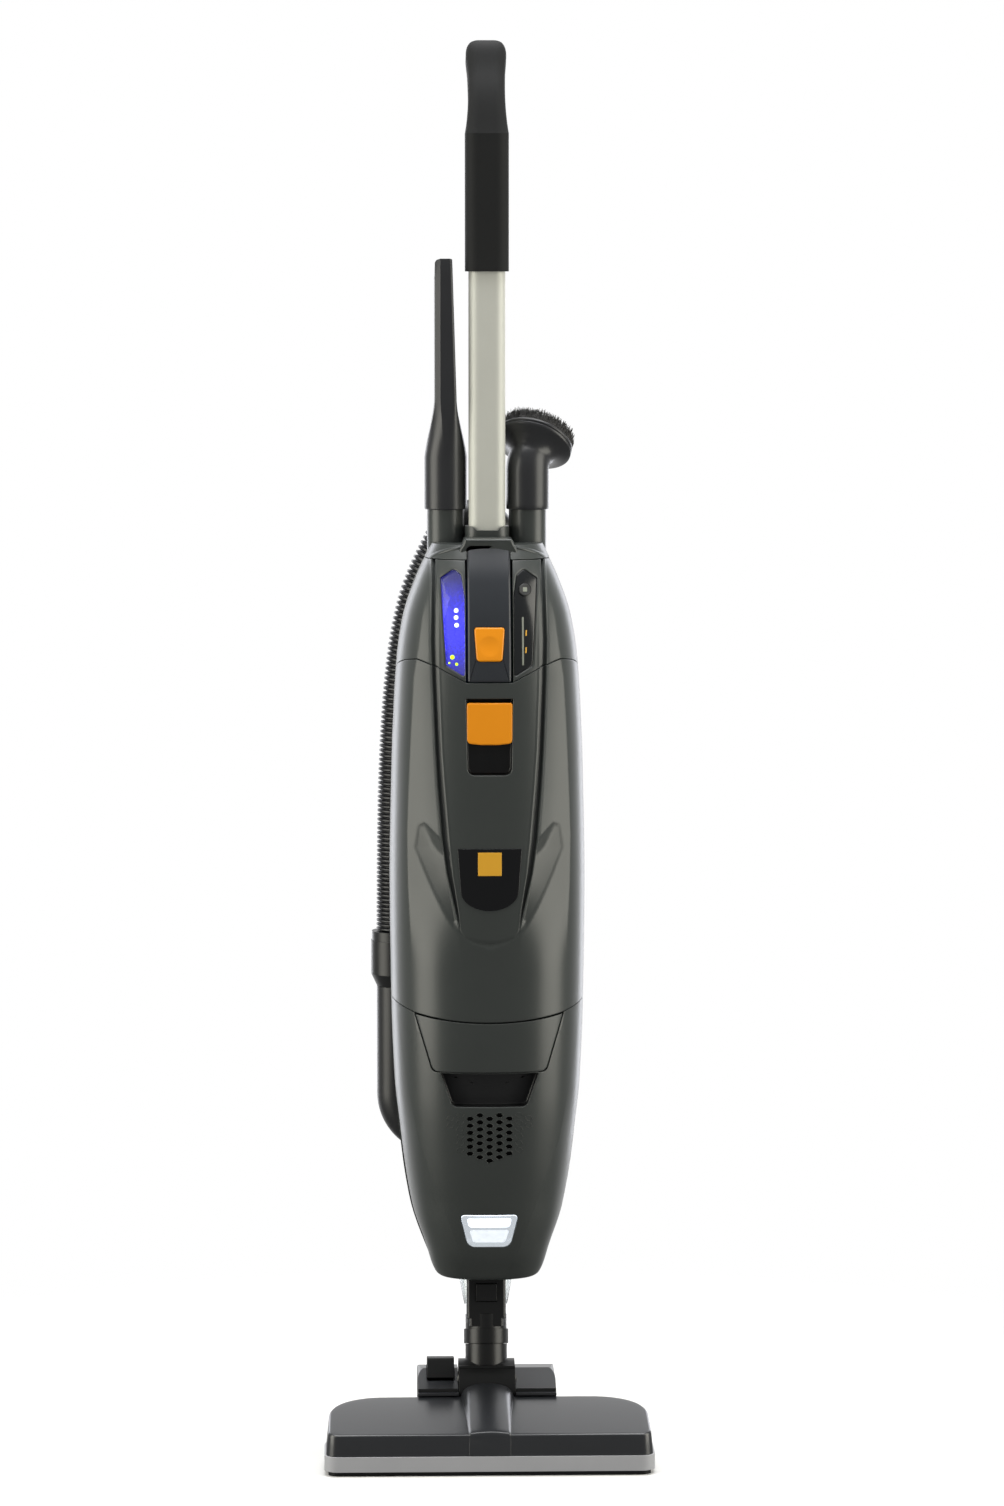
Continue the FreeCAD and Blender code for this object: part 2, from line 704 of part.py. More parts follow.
def wheel_carrier():
    rear = NOZZLE_REAR + CARRIER_DEPTH
    front = NOZZLE_REAR - BUMPER_THICK + HOOD_OVERHANG + SEAT
    side = [(front, SOLE_THICK), (rear, SOLE_THICK), (rear, CARRIER_TOP - 4), (front + 34, CARRIER_TOP),
            (front, CARRIER_FRONT_TOP)]
    block = prism_yz(side, [0, 3, 8, 6, 2], -CARRIER_HALF, CARRIER_HALF)
    front_view = [(-CARRIER_HALF, SOLE_THICK), (CARRIER_HALF, SOLE_THICK), (CARRIER_HALF, CARRIER_TOP),
                  (-CARRIER_HALF, CARRIER_TOP)]
    block = block.common(prism_xz(front_view, [0, 0, 7, 7], -FAR, FAR))
    foot = box(-CARRIER_HALF, CARRIER_HALF, NOZZLE_REAR - BUMPER_THICK, front + 1, SOLE_THICK, BUMPER_TOP - GAP)
    lip = box(-CARRIER_HALF, CARRIER_HALF, front - 7, front + 2, HOOD_TOP + GAP, CARRIER_FRONT_TOP - 1.5)
    inner = KNUCKLE_HALF + 0.5
    room = box(-inner, inner, -FAR, FAR, BRIDGE_TOP, CARRIER_TOP + 1)
    cuts = [room, pivot_cylinder(TRUNNION_R + RUNNING, KNUCKLE_HALF + TRUNNION_LENGTH + 0.3)]
    for side_sign in (-1, 1):
        middle = side_sign * WHEEL_X
        start = V(middle - WHEEL_WIDTH / 2 - 1, WHEEL_Y, WHEEL_R)
        cuts.append(cyl(WHEEL_R + 2, WHEEL_WIDTH + 2, start, V(1, 0, 0)))
        cuts.append(box(start.x, start.x + WHEEL_WIDTH + 2, WHEEL_Y - WHEEL_R - 2, WHEEL_Y + WHEEL_R + 2,
                        0, WHEEL_R))
        cuts.append(cyl(AXLE_R, WHEEL_WIDTH + 8, V(middle - WHEEL_WIDTH / 2 - 4, WHEEL_Y, WHEEL_R), V(1, 0, 0)))
    pocket_half = PEDAL_WIDTH / 2 + 0.5
    cuts.append(box(PEDAL_X - pocket_half, PEDAL_X + pocket_half, PEDAL_AXIS_Y - PEDAL_LENGTH + 1,
                    PEDAL_AXIS_Y + 6, PEDAL_POCKET, CARRIER_TOP + 1))
    cuts.append(cyl(PEDAL_PIN_R + RUNNING, PEDAL_WIDTH + 4.6, V(PEDAL_X - PEDAL_WIDTH / 2 - 2.3, PEDAL_AXIS_Y,
                                                              PEDAL_AXIS_Z), V(1, 0, 0)))
    return join([block, foot, lip]).cut(cuts)


def wheel_axles():
    pins = []
    for side_sign in (-1, 1):
        start = V(side_sign * WHEEL_X - WHEEL_WIDTH / 2 - 4, WHEEL_Y, WHEEL_R)
        pins.append(cyl(AXLE_R, WHEEL_WIDTH + 8, start, V(1, 0, 0)))
    return Part.makeCompound(pins)


def rear_wheel(side_sign):
    start = side_sign * WHEEL_X - WHEEL_WIDTH / 2
    centre = V(start, WHEEL_Y, WHEEL_R)
    wheel = ring(WHEEL_R, AXLE_R + RUNNING, WHEEL_WIDTH, centre, V(1, 0, 0))
    groove = ring(WHEEL_R + 1, WHEEL_R - 1, 3, V(start + WHEEL_WIDTH / 2 - 1.5, WHEEL_Y, WHEEL_R), V(1, 0, 0))
    return wheel.cut(groove)


def nozzle_pedal():
    half = PEDAL_WIDTH / 2
    front = PEDAL_AXIS_Y - PEDAL_LENGTH + 2
    rear = PEDAL_AXIS_Y + 5
    side = [(front, PEDAL_AXIS_Z - 1.5), (PEDAL_AXIS_Y, PEDAL_AXIS_Z - 4), (rear, PEDAL_AXIS_Z - 2),
            (rear - 1, PEDAL_TOP - 6), (front + 3, PEDAL_TOP)]
    body = prism_yz(side, [1, 4, 2, 3, 2], PEDAL_X - half, PEDAL_X + half)
    ribs = []
    for i in range(3):
        y = front + 6 + 7 * i
        ribs.append(box(PEDAL_X - half, PEDAL_X + half, y, y + 2.2, PEDAL_TOP - 3 - 1.4 * i, PEDAL_TOP + 1))
    pin = cyl(PEDAL_PIN_R, PEDAL_WIDTH + 4, V(PEDAL_X - half - 2, PEDAL_AXIS_Y, PEDAL_AXIS_Z), V(1, 0, 0))
    return join([body.cut(ribs), pin])


def brush_carriage():
    half = STRIP_LENGTH / 2
    edge = STRIP_THICK / 2
    top = CARRIAGE_BOTTOM + CARRIAGE_THICK
    bars = []
    for y in (STRIP_FRONT_Y, STRIP_REAR_Y):
        bars.append(box(-half, half, y - edge, y + edge, SOLE_THICK - 1, top))
    for side_sign in (-1, 1):
        inner = side_sign * (half - 1.2)
        outer = side_sign * (half + 4)
        low, high = min(inner, outer), max(inner, outer)
        bars.append(box(low, high, STRIP_FRONT_Y - edge, STRIP_REAR_Y + edge, CARRIAGE_BOTTOM, top))
    return join(bars)


def brush_strips():
    half = STRIP_LENGTH / 2 - 1
    edge = STRIP_THICK / 2 - 0.6
    return Part.makeCompound([box(-half, half, y - edge, y + edge, STRIP_LIFT, SOLE_THICK - 1)
                              for y in (STRIP_FRONT_Y, STRIP_REAR_Y)])


# Neck. It is built upright over the pivot and leaned back at the end

PIVOT = V(0, PIVOT_Y, PIVOT_Z)


def lean(shape):
    leaned = shape.copy()
    leaned.rotate(PIVOT, V(1, 0, 0), -NECK_LEAN)
    return leaned


def over_pivot(distance):
    return PIVOT + V(0, 0, distance)


def knuckle():
    barrel = pivot_cylinder(KNUCKLE_R, KNUCKLE_HALF)
    pins = pivot_cylinder(TRUNNION_R, KNUCKLE_HALF + TRUNNION_LENGTH)
    stub = cyl(NECK_R, STUB_END - GAP / 2, PIVOT)
    spigot = cyl(SPIGOT_R, SPIGOT_LENGTH + STUB_END, PIVOT)
    room = pivot_cylinder(KNUCKLE_R - KNUCKLE_WALL, KNUCKLE_HALF - KNUCKLE_WALL)
    bore = cyl(SPIGOT_R - SPIGOT_WALL, SPIGOT_LENGTH + STUB_END + 1, PIVOT)
    start = math.radians(165.0)
    end = math.radians(245.0)
    mouth = [(PIVOT_Y, PIVOT_Z)]
    for angle in (start, (start + end) / 2, end):
        mouth.append((PIVOT_Y + 60 * math.cos(angle), PIVOT_Z + 60 * math.sin(angle)))
    half = KNUCKLE_HALF - KNUCKLE_WALL
    solid = join([barrel, pins, lean(stub), lean(spigot)])
    return solid.cut([room, lean(bore), prism_yz(mouth, 0, -half, half)])


NECK_BORE = SPIGOT_R + RUNNING


def neck_pipe():
    round_part = cyl(COLLAR_R - 1.5, NECK_STEP - STUB_END, over_pivot(STUB_END))
    square = rounded_bar(NECK_WIDTH, NECK_WIDTH, 11.0, 0, PIVOT_Y, PIVOT_Z + NECK_STEP - 8,
                         PIVOT_Z + NECK_SPLIT)
    step = rounded_bar(NECK_WIDTH - 4, NECK_WIDTH, 3.0, 0, PIVOT_Y, PIVOT_Z + STUB_END + COLLAR_LENGTH + 2,
                       PIVOT_Z + NECK_STEP)
    plate_y = PIVOT_Y - NECK_WIDTH / 2 + NECK_PLATE_THICK / 2
    plate = rounded_bar(NECK_WIDTH, NECK_PLATE_THICK, 3.0, 0, plate_y, PIVOT_Z + NECK_STEP - 4,
                        PIVOT_Z + 2 * NECK_STEP)
    bore = cyl(NECK_BORE, 2 * NECK_STEP, over_pivot(STUB_END - 1))
    upper_bore = bore.common(box(-FAR, FAR, plate_y + NECK_PLATE_THICK / 2 - 2, FAR, 0, BODY_TOP))
    lower_bore = cyl(NECK_BORE, SPIGOT_LENGTH + 3, over_pivot(STUB_END - 1))
    latch = latch_room(0.3)
    neck = join([round_part, square, step, plate]).cut([lower_bore, upper_bore, latch])
    below_body = box(-FAR, FAR, -FAR, BODY_BACK + FAR, 0, BODY_BOTTOM)
    return lean(neck).common(below_body)


LATCH_DEPTH = 8.0


def latch_room(spare):
    half = LATCH_WIDTH / 2 + spare
    face = PIVOT_Y - NECK_WIDTH / 2
    return box(-half, half, face - LATCH_PROUD - 1, face + LATCH_DEPTH + (LATCH_TRAVEL + SEAT if spare else 0),
               PIVOT_Z + LATCH_LOW - spare, PIVOT_Z + LATCH_HIGH + spare)


def neck_latch():
    half = LATCH_WIDTH / 2
    face = PIVOT_Y - NECK_WIDTH / 2
    side = [(face - LATCH_PROUD + 0.8, PIVOT_Z + LATCH_LOW), (face + LATCH_DEPTH, PIVOT_Z + LATCH_LOW),
            (face + LATCH_DEPTH, PIVOT_Z + LATCH_HIGH), (face - LATCH_PROUD, PIVOT_Z + LATCH_HIGH)]
    return lean(prism_yz(side, [0.8, 0, 0, 1.2], -half, half))


def swivel_collar():
    start = over_pivot(STUB_END)
    collar = ring(COLLAR_R, COLLAR_R - 1.5, COLLAR_LENGTH, start)
    return lean(collar)


# Hose path

def ellipse_wire(half_x, half_y, centre):
    points = []
    for i in range(16):
        angle = 2 * math.pi * i / 16
        points.append(centre + V(half_x * math.cos(angle), half_y * math.sin(angle), 0))
    curve = Part.BSplineCurve()
    curve.interpolate(Points=points, PeriodicFlag=True)
    return Part.Wire(curve.toShape())


# Height, half width, half depth and y of the clear elbow's sections
ELBOW_SECTIONS = [(ELBOW_BOTTOM, 17.6, 9.0, 45.9), (136.0, 22.0, 13.2, 53.6), (152.0, 24.0, 17.4, 61.2),
                  (172.0, 23.4, 18.8, 62.4), (190.0, 20.0, 18.5, DUCT_Y)]


def clear_elbow():
    outside = Part.makeLoft([ellipse_wire(a, b, V(0, y, z)) for z, a, b, y in ELBOW_SECTIONS], True, False)
    inside = Part.makeLoft([ellipse_wire(a - ELBOW_WALL, b - ELBOW_WALL, V(0, y, z))
                            for z, a, b, y in ELBOW_SECTIONS], True, False)
    top = ELBOW_SECTIONS[-1][0]
    sleeve = ring(DUCT_R + ELBOW_WALL + 0.02, DUCT_R + 0.02, 12.0, V(0, DUCT_Y, top))
    lip = ring(DUCT_R + ELBOW_WALL + 0.02, DUCT_R - ELBOW_WALL, 2.0, V(0, DUCT_Y, top - 2))
    seat = NECK_SPLIT + SEAT / 2
    neck_room = lean(box(-FAR, FAR, -FAR, FAR, 0, PIVOT_Z + seat))
    plate_room = lean(box(-FAR, FAR, -FAR, PIVOT_Y - NECK_WIDTH / 2 + NECK_PLATE_THICK + SEAT, 0, BODY_TOP))
    low = band(0, BODY_BOTTOM + 8)
    body_room = box(-FAR, FAR, -FAR, BODY_BACK + SEAT, BODY_BOTTOM - SEAT, BODY_TOP)
    return join([outside.cut(inside), lip, sleeve]).cut([neck_room, plate_room.common(low), body_room])


def bent_path(points, radius):
    edges = []
    start = points[0]
    for i in range(1, len(points) - 1):
        here = points[i]
        before = points[i - 1] - here
        after = points[i + 1] - here
        half = before.getAngle(after) / 2
        reach = radius / math.tan(half)
        before.normalize()
        after.normalize()
        middle = before + after
        middle.normalize()
        first = here + before * reach
        last = here + after * reach
        edges.append(Part.LineSegment(start, first).toShape())
        top = here + middle * (radius / math.sin(half) - radius)
        edges.append(Part.Arc(first, top, last).toShape())
        start = last
    edges.append(Part.LineSegment(start, points[-1]).toShape())
    return Part.Wire(edges)


def sweep(path, radius, start, direction):
    circle = Part.Wire(Part.Circle(start, direction, radius).toShape())
    return path.makePipeShell([circle], True, False)


DUCT_X = HOSE_ROUTE[0].x


def lower_duct():
    points = [V(DUCT_X, DUCT_Y, CUFF_BOTTOM - SEAT), V(DUCT_X, DUCT_Y, DUCT_BEND_Z), V(0, DUCT_Y, DUCT_LOW_Z),
              V(0, DUCT_Y, ELBOW_SECTIONS[-1][0] + 0.2)]
    path = bent_path(points, DUCT_BEND_R)
    outside = sweep(path, DUCT_R, points[0], V(0, 0, -1))
    inside = sweep(path, DUCT_R - DUCT_WALL, points[0], V(0, 0, -1))
    spigot_r = HOSE_R - HOSE_WALL - RUNNING
    spigot = ring(spigot_r, spigot_r - DUCT_WALL, DUCT_SPIGOT + 6, points[0] - V(0, 0, 6))
    neck = ring(DUCT_R - 1, spigot_r - DUCT_WALL, 6, points[0] - V(0, 0, 6))
    clip = box(DUCT_X + 12, DUCT_X + 26, BODY_BACK - 1, DUCT_Y - 10, 356, 372)
    clip = clip.cut(box(-FAR, FAR, -FAR, BODY_BACK + 0.1, 0, BODY_TOP)).cut(cyl(DUCT_R - 1, 40, V(DUCT_X, DUCT_Y, 340)))
    return join([outside.cut(inside), neck, spigot, clip])


def hose_cuff():
    bore = HOSE_R - HOSE_WALL
    centre = V(DUCT_X, DUCT_Y, CUFF_BOTTOM)
    taper = cone(DUCT_R, CUFF_R, CUFF_TAPER_TOP - CUFF_BOTTOM, centre)
    barrel = cyl(CUFF_R, CUFF_TOP - CUFF_TAPER_TOP - 8, V(DUCT_X, DUCT_Y, CUFF_TAPER_TOP))
    collar = cyl(CUFF_R - 0.8, 8, V(DUCT_X, DUCT_Y, CUFF_TOP - 8))
    return join([taper, barrel, collar]).cut(cyl(bore, CUFF_TOP - CUFF_BOTTOM, centre))


# Middle line of the hose as straight runs joined by tangent arcs
def hose_line():
    edges = []
    start = HOSE_ROUTE[0]
    length = 0.0
    for i in range(1, len(HOSE_ROUTE) - 1):
        here = HOSE_ROUTE[i]
        before = HOSE_ROUTE[i - 1] - here
        after = HOSE_ROUTE[i + 1] - here
        half = before.getAngle(after) / 2
        reach = 0.45 * min(before.Length, after.Length)
        radius = reach * math.tan(half)
        before.normalize()
        after.normalize()
        middle = before + after
        middle.normalize()
        first = here + before * reach
        last = here + after * reach
        top = here + middle * (radius / math.sin(half) - radius)
        edges.append(Part.LineSegment(start, first).toShape())
        edges.append(Part.Arc(first, top, last).toShape())
        print("hose bend", i, "radius", round(radius))
        start = last
    edges.append(Part.LineSegment(start, HOSE_ROUTE[-1]).toShape())
    path = Part.Wire(edges)
    length = path.Length
    return path, length


def stretch_hose():
    path, length = hose_line()
    hose = sweep(path, HOSE_R, HOSE_ROUTE[0], HOSE_ROUTE[1] - HOSE_ROUTE[0])
    print("hose length", round(length, 1), "volume share", round(hose.Volume / (math.pi * HOSE_R ** 2 * length), 4))
    return hose


# Elbow behind the head: it takes the hose's end and turns it down into the port
def elbow_places():
    way = HOSE_ROUTE[-1] - HOSE_ROUTE[-2]
    way.y = 0
    way.normalize()
    start = HOSE_ROUTE[-1] + way * 0.2
    right = V(way.z, 0, -way.x)
    centre = start + right * HOSE_ELBOW_R
    end = centre + V(HOSE_ELBOW_R, 0, 0)
    return way, start, centre, end


def hose_elbow():
    way, start, centre, end = elbow_places()
    up = (start - centre) + (end - centre)
    up.normalize()
    top = centre + up * HOSE_ELBOW_R
    arc = Part.Arc(start, top, end).toShape()
    path = Part.Wire([arc])
    outside = sweep(path, HOSE_ELBOW_TUBE, start, way)
    inside = sweep(path, HOSE_ELBOW_TUBE - 2.5, start, way)
    cap = ring(HOSE_R + 1, HOSE_ELBOW_TUBE - 2.5, 5, start, way)
    leg = ring(HOSE_ELBOW_TUBE, HOSE_ELBOW_TUBE - 2.5, end.z - PORT_TOP + 20, end + V(0, 0, PORT_TOP - 20 - end.z))
    bead = ring(PORT_R, HOSE_ELBOW_TUBE - 2.5, 4, V(end.x, end.y, PORT_TOP + 0.1))
    bend = outside.cut(inside)
    return join([bend, cap.cut(outside), leg, bead.cut(outside)])


def hose_port():
    way, start, centre, end = elbow_places()
    outside = cyl(PORT_R, PORT_TOP - PORT_BOTTOM, V(end.x, end.y, PORT_BOTTOM))
    web = box(end.x - PORT_R + 3, end.x + PORT_R - 3, BODY_BACK - 0.5, end.y, PORT_BOTTOM, PORT_TOP - 12)
    bore = cyl(HOSE_ELBOW_TUBE + 0.02, PORT_TOP - PORT_BOTTOM, V(end.x, end.y, PORT_BOTTOM + 3))
    mouth = cyl(BAG_MOUTH_R - 3, end.y, V(end.x, 0, PORT_BOTTOM + 3 + BAG_MOUTH_R), V(0, 1, 0))
    return join([outside, web]), [bore, mouth]


# Body mouldings

# Deck that reaches into the rear housing's wall and stays clear of the front mouldings
def deck(z, hole):
    front = body_form(WALL + GAP, z - 2, z + DECK_THICK + 2)
    rear = body_form(WALL - 0.5, z - 2, z + DECK_THICK + 2).common(behind(PARTING_Y + GAP / 2))
    return join([front, rear]).common(band(z, z + DECK_THICK)).cut(hole)


# Rim along the front edges of the rear housing, where the door seal lies
def seal_rim():
    z0 = BAG_DECK + 1
    z1 = HEAD_DECK + 1
    rim = body_form(WALL - 0.5, z0 - 2, z1 + 2).cut(body_form(WALL + 5.5, z0 - 4, z1 + 4))
    edge = box(-FAR, FAR, PARTING_Y + GAP / 2, PARTING_Y + GAP / 2 + 2.4, z0, z1)
    return rim.common(edge)


def rear_housing():
    rear_shell = shell_form(BODY_BOTTOM, BODY_TOP).common(behind(PARTING_Y + GAP / 2))
    rear_shell = rear_shell.common(band(0, HEAD_SEAM_Z - GAP / 2))
    inside = body_form(WALL - 0.5, BODY_BOTTOM + WALL, BODY_TOP - WALL)
    port, port_cuts = hose_port()
    port = port.cut(inside)
    motor_hole = cyl(MOTOR_R - 8, 20, V(0, MOTOR_Y, MOTOR_DECK - 5))
    fan_hole = cyl(FAN_INLET_R + 8, 20, V(0, MOTOR_Y, FAN_DECK - 5))
    bag_hole = cyl(MOTOR_FILTER_HALF - 12, 20, V(0, MOTOR_Y, BAG_DECK - 5))
    wire_hole = box(-30, -14, 10, 24, HEAD_DECK - 5, HEAD_DECK + 10)
    decks = [deck(MOTOR_DECK, motor_hole), deck(FAN_DECK, fan_hole), deck(BAG_DECK, bag_hole),
             deck(HEAD_DECK, wire_hole)]
    exhaust_room = prism_xz(cover_outline(2.0), 0, -FAR, front_y(0, FAN_DECK) + EXHAUST_FILTER_THICK + 10)
    decks[1] = decks[1].cut(exhaust_room)
    decks[2] = decks[2].cut(hook_rooms(BAG_DECK - 1, BAG_DECK + DECK_THICK + 1))
    inlet = ring(FAN_INLET_R + 11, FAN_INLET_R + 8, BAG_DECK - FAN_DECK, V(0, MOTOR_Y, FAN_DECK))
    screw_holes = [cyl(SCREW_R + 0.1, 30, V(x, BODY_BACK - 20, z), V(0, 1, 0)) for x, z in HOUSING_SCREWS]
    gland_hole = cyl(GLAND_R - 2, 20, V(GLAND_X, BODY_BACK - 10, GLAND_Z), V(0, 1, 0))
    hook_pin = cyl(4.0, 20, V(LOWER_HOOK_X, BODY_BACK - 10, LOWER_HOOK_Z), V(0, 1, 0))
    return join([rear_shell, port, inlet, seal_rim()] + decks).cut(port_cuts + screw_holes + [gland_hole, hook_pin])


SCREW_R = 4.0
HOUSING_SCREWS = [(-52.0, 240.0), (52.0, 240.0), (52.0, 420.0), (-40.0, 430.0), (52.0, 640.0), (-46.0, 600.0)]


# Screws on the back of the housing, in the collar and in the handle
def housing_screws():
    screws = []
    for x, z in HOUSING_SCREWS:
        head = cyl(SCREW_R, 2.6, V(x, BODY_BACK - 3.2, z), V(0, 1, 0))
        slot = join([box(x - 2.2, x + 2.2, BODY_BACK - 1.6, BODY_BACK, z - 0.5, z + 0.5),
                     box(x - 0.5, x + 0.5, BODY_BACK - 1.6, BODY_BACK, z - 2.2, z + 2.2)])
        shank = cyl(1.8, 6, V(x, BODY_BACK - 8.4, z), V(0, 1, 0))
        screws.append(join([head, shank]).cut(slot))
    back = SLEEVE_DEPTH / 2
    screw = cyl(SCREW_R, 3.0, V(0, back - 3.0, SLEEVE_BOTTOM + 12), V(0, 1, 0))
    screws.append(screw.cut(box(-2.2, 2.2, back - 1, back + 1, SLEEVE_BOTTOM + 11.5, SLEEVE_BOTTOM + 12.5)))
    return Part.makeCompound(screws)


# Exhaust filter cover, seen from the front, moved out by the spare
def cover_outline(spare):
    top = LOWER_SEAM_SHOULDER[1] + 30
    widen = (COVER_TOP_HALF - COVER_BOTTOM_HALF) / (LOWER_SEAM_SHOULDER[1] - COVER_BOTTOM)
    top_half = COVER_BOTTOM_HALF + widen * (top - COVER_BOTTOM)
    return [(-COVER_BOTTOM_HALF - spare, COVER_BOTTOM - spare), (COVER_BOTTOM_HALF + spare, COVER_BOTTOM - spare),
            (top_half + spare, top), (-top_half - spare, top)]


def recess_outline(spare):
    return [(-RECESS_BOTTOM_HALF + spare, RECESS_BOTTOM + spare), (RECESS_BOTTOM_HALF - spare, RECESS_BOTTOM + spare),
            (RECESS_TOP_HALF - spare, RECESS_TOP), (-RECESS_TOP_HALF + spare, RECESS_TOP)]


def lens_outline(spare):
    return [(-LENS_BOTTOM_HALF - spare, LENS_BOTTOM - spare), (LENS_BOTTOM_HALF + spare, LENS_BOTTOM - spare),
            (LENS_TOP_HALF + spare, LENS_TOP + spare), (-LENS_TOP_HALF - spare, LENS_TOP + spare)]


def grille_holes():
    holes = []
    width, height = GRILLE_HOLE
    for column in range(-2, 3):
        rows = GRILLE_ROWS[abs(column)]
        top = GRILLE_TOP + (GRILLE_PITCH_Z / 2 if abs(column) == 1 else 0)
        for row in range(rows):
            x = column * GRILLE_PITCH_X
            z = top - row * GRILLE_PITCH_Z
            points = [(x - width / 2, z - height / 2), (x + width / 2, z - height / 2),
                      (x + width / 2, z + height / 2), (x - width / 2, z + height / 2)]
            holes.append(prism_xz(points, height / 2 - 0.05, -FAR, -FAR / 2))
    return holes


def motor_housing():
    shell = LOWER_SHELL.cut(LOWER_CUT)
    back = front_y(0, RECESS_BOTTOM) + RECESS_DEPTH
    tray_points = [(-RECESS_BOTTOM_HALF - 2, RECESS_BOTTOM - 2), (RECESS_BOTTOM_HALF + 2, RECESS_BOTTOM - 2),
                   (RECESS_TOP_HALF + 2, RECESS_TOP), (-RECESS_TOP_HALF - 2, RECESS_TOP)]
    tray = prism_xz(tray_points, 0, -FAR, back + 2)
    tray = tray.common(body_form(0.5, RECESS_BOTTOM - 20, RECESS_TOP + 20))
    hollow = prism_xz(recess_outline(0), [6, 6, 0, 0], -FAR, back)
    lens_hole = prism_xz(lens_outline(GAP / 2), 0, -FAR, -FAR / 4)
    cover_room = prism_xz(cover_outline(GAP / 2), 0, -FAR, -FAR / 6)
    vent = prism_xz([(-22, GRILLE_TOP - 41), (22, GRILLE_TOP - 41), (22, GRILLE_TOP + 6), (-22, GRILLE_TOP + 6)],
                    0, -FAR, 0).common(body_form(WALL - 1.2, GRILLE_TOP - 60, GRILLE_TOP + 20))
    thin = vent.cut(body_form(WALL, GRILLE_TOP - 60, GRILLE_TOP + 20))
    housing = join([shell, tray]).cut([hollow, lens_hole, cover_room, thin])
    return housing.cut(grille_holes())


def exhaust_filter_cover():
    panel = LOWER_SHELL.cut(LOWER_CUT).common(prism_xz(cover_outline(-GAP / 2), 0, -FAR, 0))
    lip = box(-RECESS_TOP_HALF + 4, RECESS_TOP_HALF - 4, front_y(0, COVER_BOTTOM) + WALL - 0.5,
              front_y(0, COVER_BOTTOM) + WALL + 2, COVER_BOTTOM + GAP / 2, COVER_BOTTOM + 8)
    return join([panel, lip.common(body_form(1.0, COVER_BOTTOM - 20, COVER_BOTTOM + 40))])


def exhaust_filter():
    front = front_y(0, COVER_BOTTOM) + WALL + 4
    half = DOOR_HOOK_X - DOOR_HOOK_WIDTH / 2 - 2
    block = box(-half, half, front, front + EXHAUST_FILTER_THICK, FAN_DECK + DECK_THICK + SEAT, BAG_DECK - SEAT)
    fits = body_form(WALL + 1.5, FAN_DECK - 10, BAG_DECK + 10)
    return block.common(fits)


def headlight_lens():
    skin = body_form(-0.2, LENS_BOTTOM - 30, LENS_TOP + 30).cut(body_form(WALL - 0.2, LENS_BOTTOM - 30, LENS_TOP + 30))
    return skin.common(prism_xz(lens_outline(-GAP / 2), 0, -FAR, -FAR / 4))


def headlight_board():
    y = front_y(LENS_TOP_HALF, LENS_BOTTOM) + 10
    board = box(-LENS_BOTTOM_HALF, LENS_BOTTOM_HALF, y, y + 1.6, LENS_BOTTOM - 8, MOTOR_DECK - SEAT)
    return board


def bag_door():
    shell = DOOR_SHELL.common(LOWER_CUT_RAISED).cut(UPPER_CUT).common(door_swing(0))
    low = LATCH_RECESS_BOTTOM
    high = LATCH_RECESS_TOP
    back = front_y(0, low) + LATCH_RECESS_DEPTH
    half = LATCH_RECESS_HALF
    pocket = box(-half - 2, half + 2, -FAR, back + 2, low - 2, high + 2)
    pocket = pocket.common(body_form(0.5, low - 20, high + 20))
    room = prism_xz([(-half, low), (half, low), (half, high), (-half, high)], [6, 6, 0, 0], -FAR, back)
    pin_z = TAB_TOP - 4
    pin_y = front_y(0, pin_z) + TAB_PIN_DEPTH
    pin_hole = cyl(TAB_PIN_R + RUNNING, 2 * half + 3, V(-half - 1.5, pin_y, pin_z), V(1, 0, 0))
    z = LOWER_SEAM_MIDDLE
    tongue = body_form(WALL + GAP, z - 30, z + 50).cut(body_form(WALL + GAP + 2.6, z - 40, z + 60))
    pad = body_form(WALL - 0.5, z - 30, z + 50).cut(body_form(WALL + GAP + 2.6, z - 40, z + 60))
    hooks = []
    for x in (-DOOR_HOOK_X, DOOR_HOOK_X):
        low_x = x - DOOR_HOOK_WIDTH / 2
        high_x = x + DOOR_HOOK_WIDTH / 2
        hooks.append(tongue.common(box(low_x, high_x, -FAR, -FAR / 3, z - 4, z + 22)))
        hooks.append(pad.common(box(low_x, high_x, -FAR, -FAR / 3, z + 10, z + 22)))
    return join([shell, pocket] + hooks).cut([room, pin_hole])


def door_latch():
    half = LATCH_RECESS_HALF - 0.35
    skin = body_form(0.3, TAB_BOTTOM - 30, TAB_TOP + 30)
    back = front_y(0, TAB_TOP) + TAB_THICK + 0.8
    tab = skin.common(box(-half, half, -FAR, back, TAB_BOTTOM, TAB_TOP))
    pin_z = TAB_TOP - 4
    pin_y = front_y(0, pin_z) + TAB_PIN_DEPTH
    pin = cyl(TAB_PIN_R, 2 * half + 2.6, V(-half - 1.3, pin_y, pin_z), V(1, 0, 0))
    return join([tab, pin])


def badge_plate():
    proud = body_form(-BADGE_THICK, BADGE_BOTTOM - 30, BADGE_TOP + 30).cut(DOOR_FORM)
    place = in_xz(-FAR)
    shoulder = BADGE_BOTTOM + 16
    left = place(-BADGE_HALF + 2.5, shoulder)
    right = place(BADGE_HALF - 2.5, shoulder)
    corners = [right, place(BADGE_HALF, BADGE_TOP), place(-BADGE_HALF, BADGE_TOP), left]
    edges = [Part.Arc(left, place(0, BADGE_BOTTOM), right).toShape()]
    edges += [Part.LineSegment(a, b).toShape() for a, b in zip(corners, corners[1:])]
    shield = Part.Face(Part.Wire(edges)).extrude(V(0, FAR * 0.6, 0))
    return proud.common(shield)


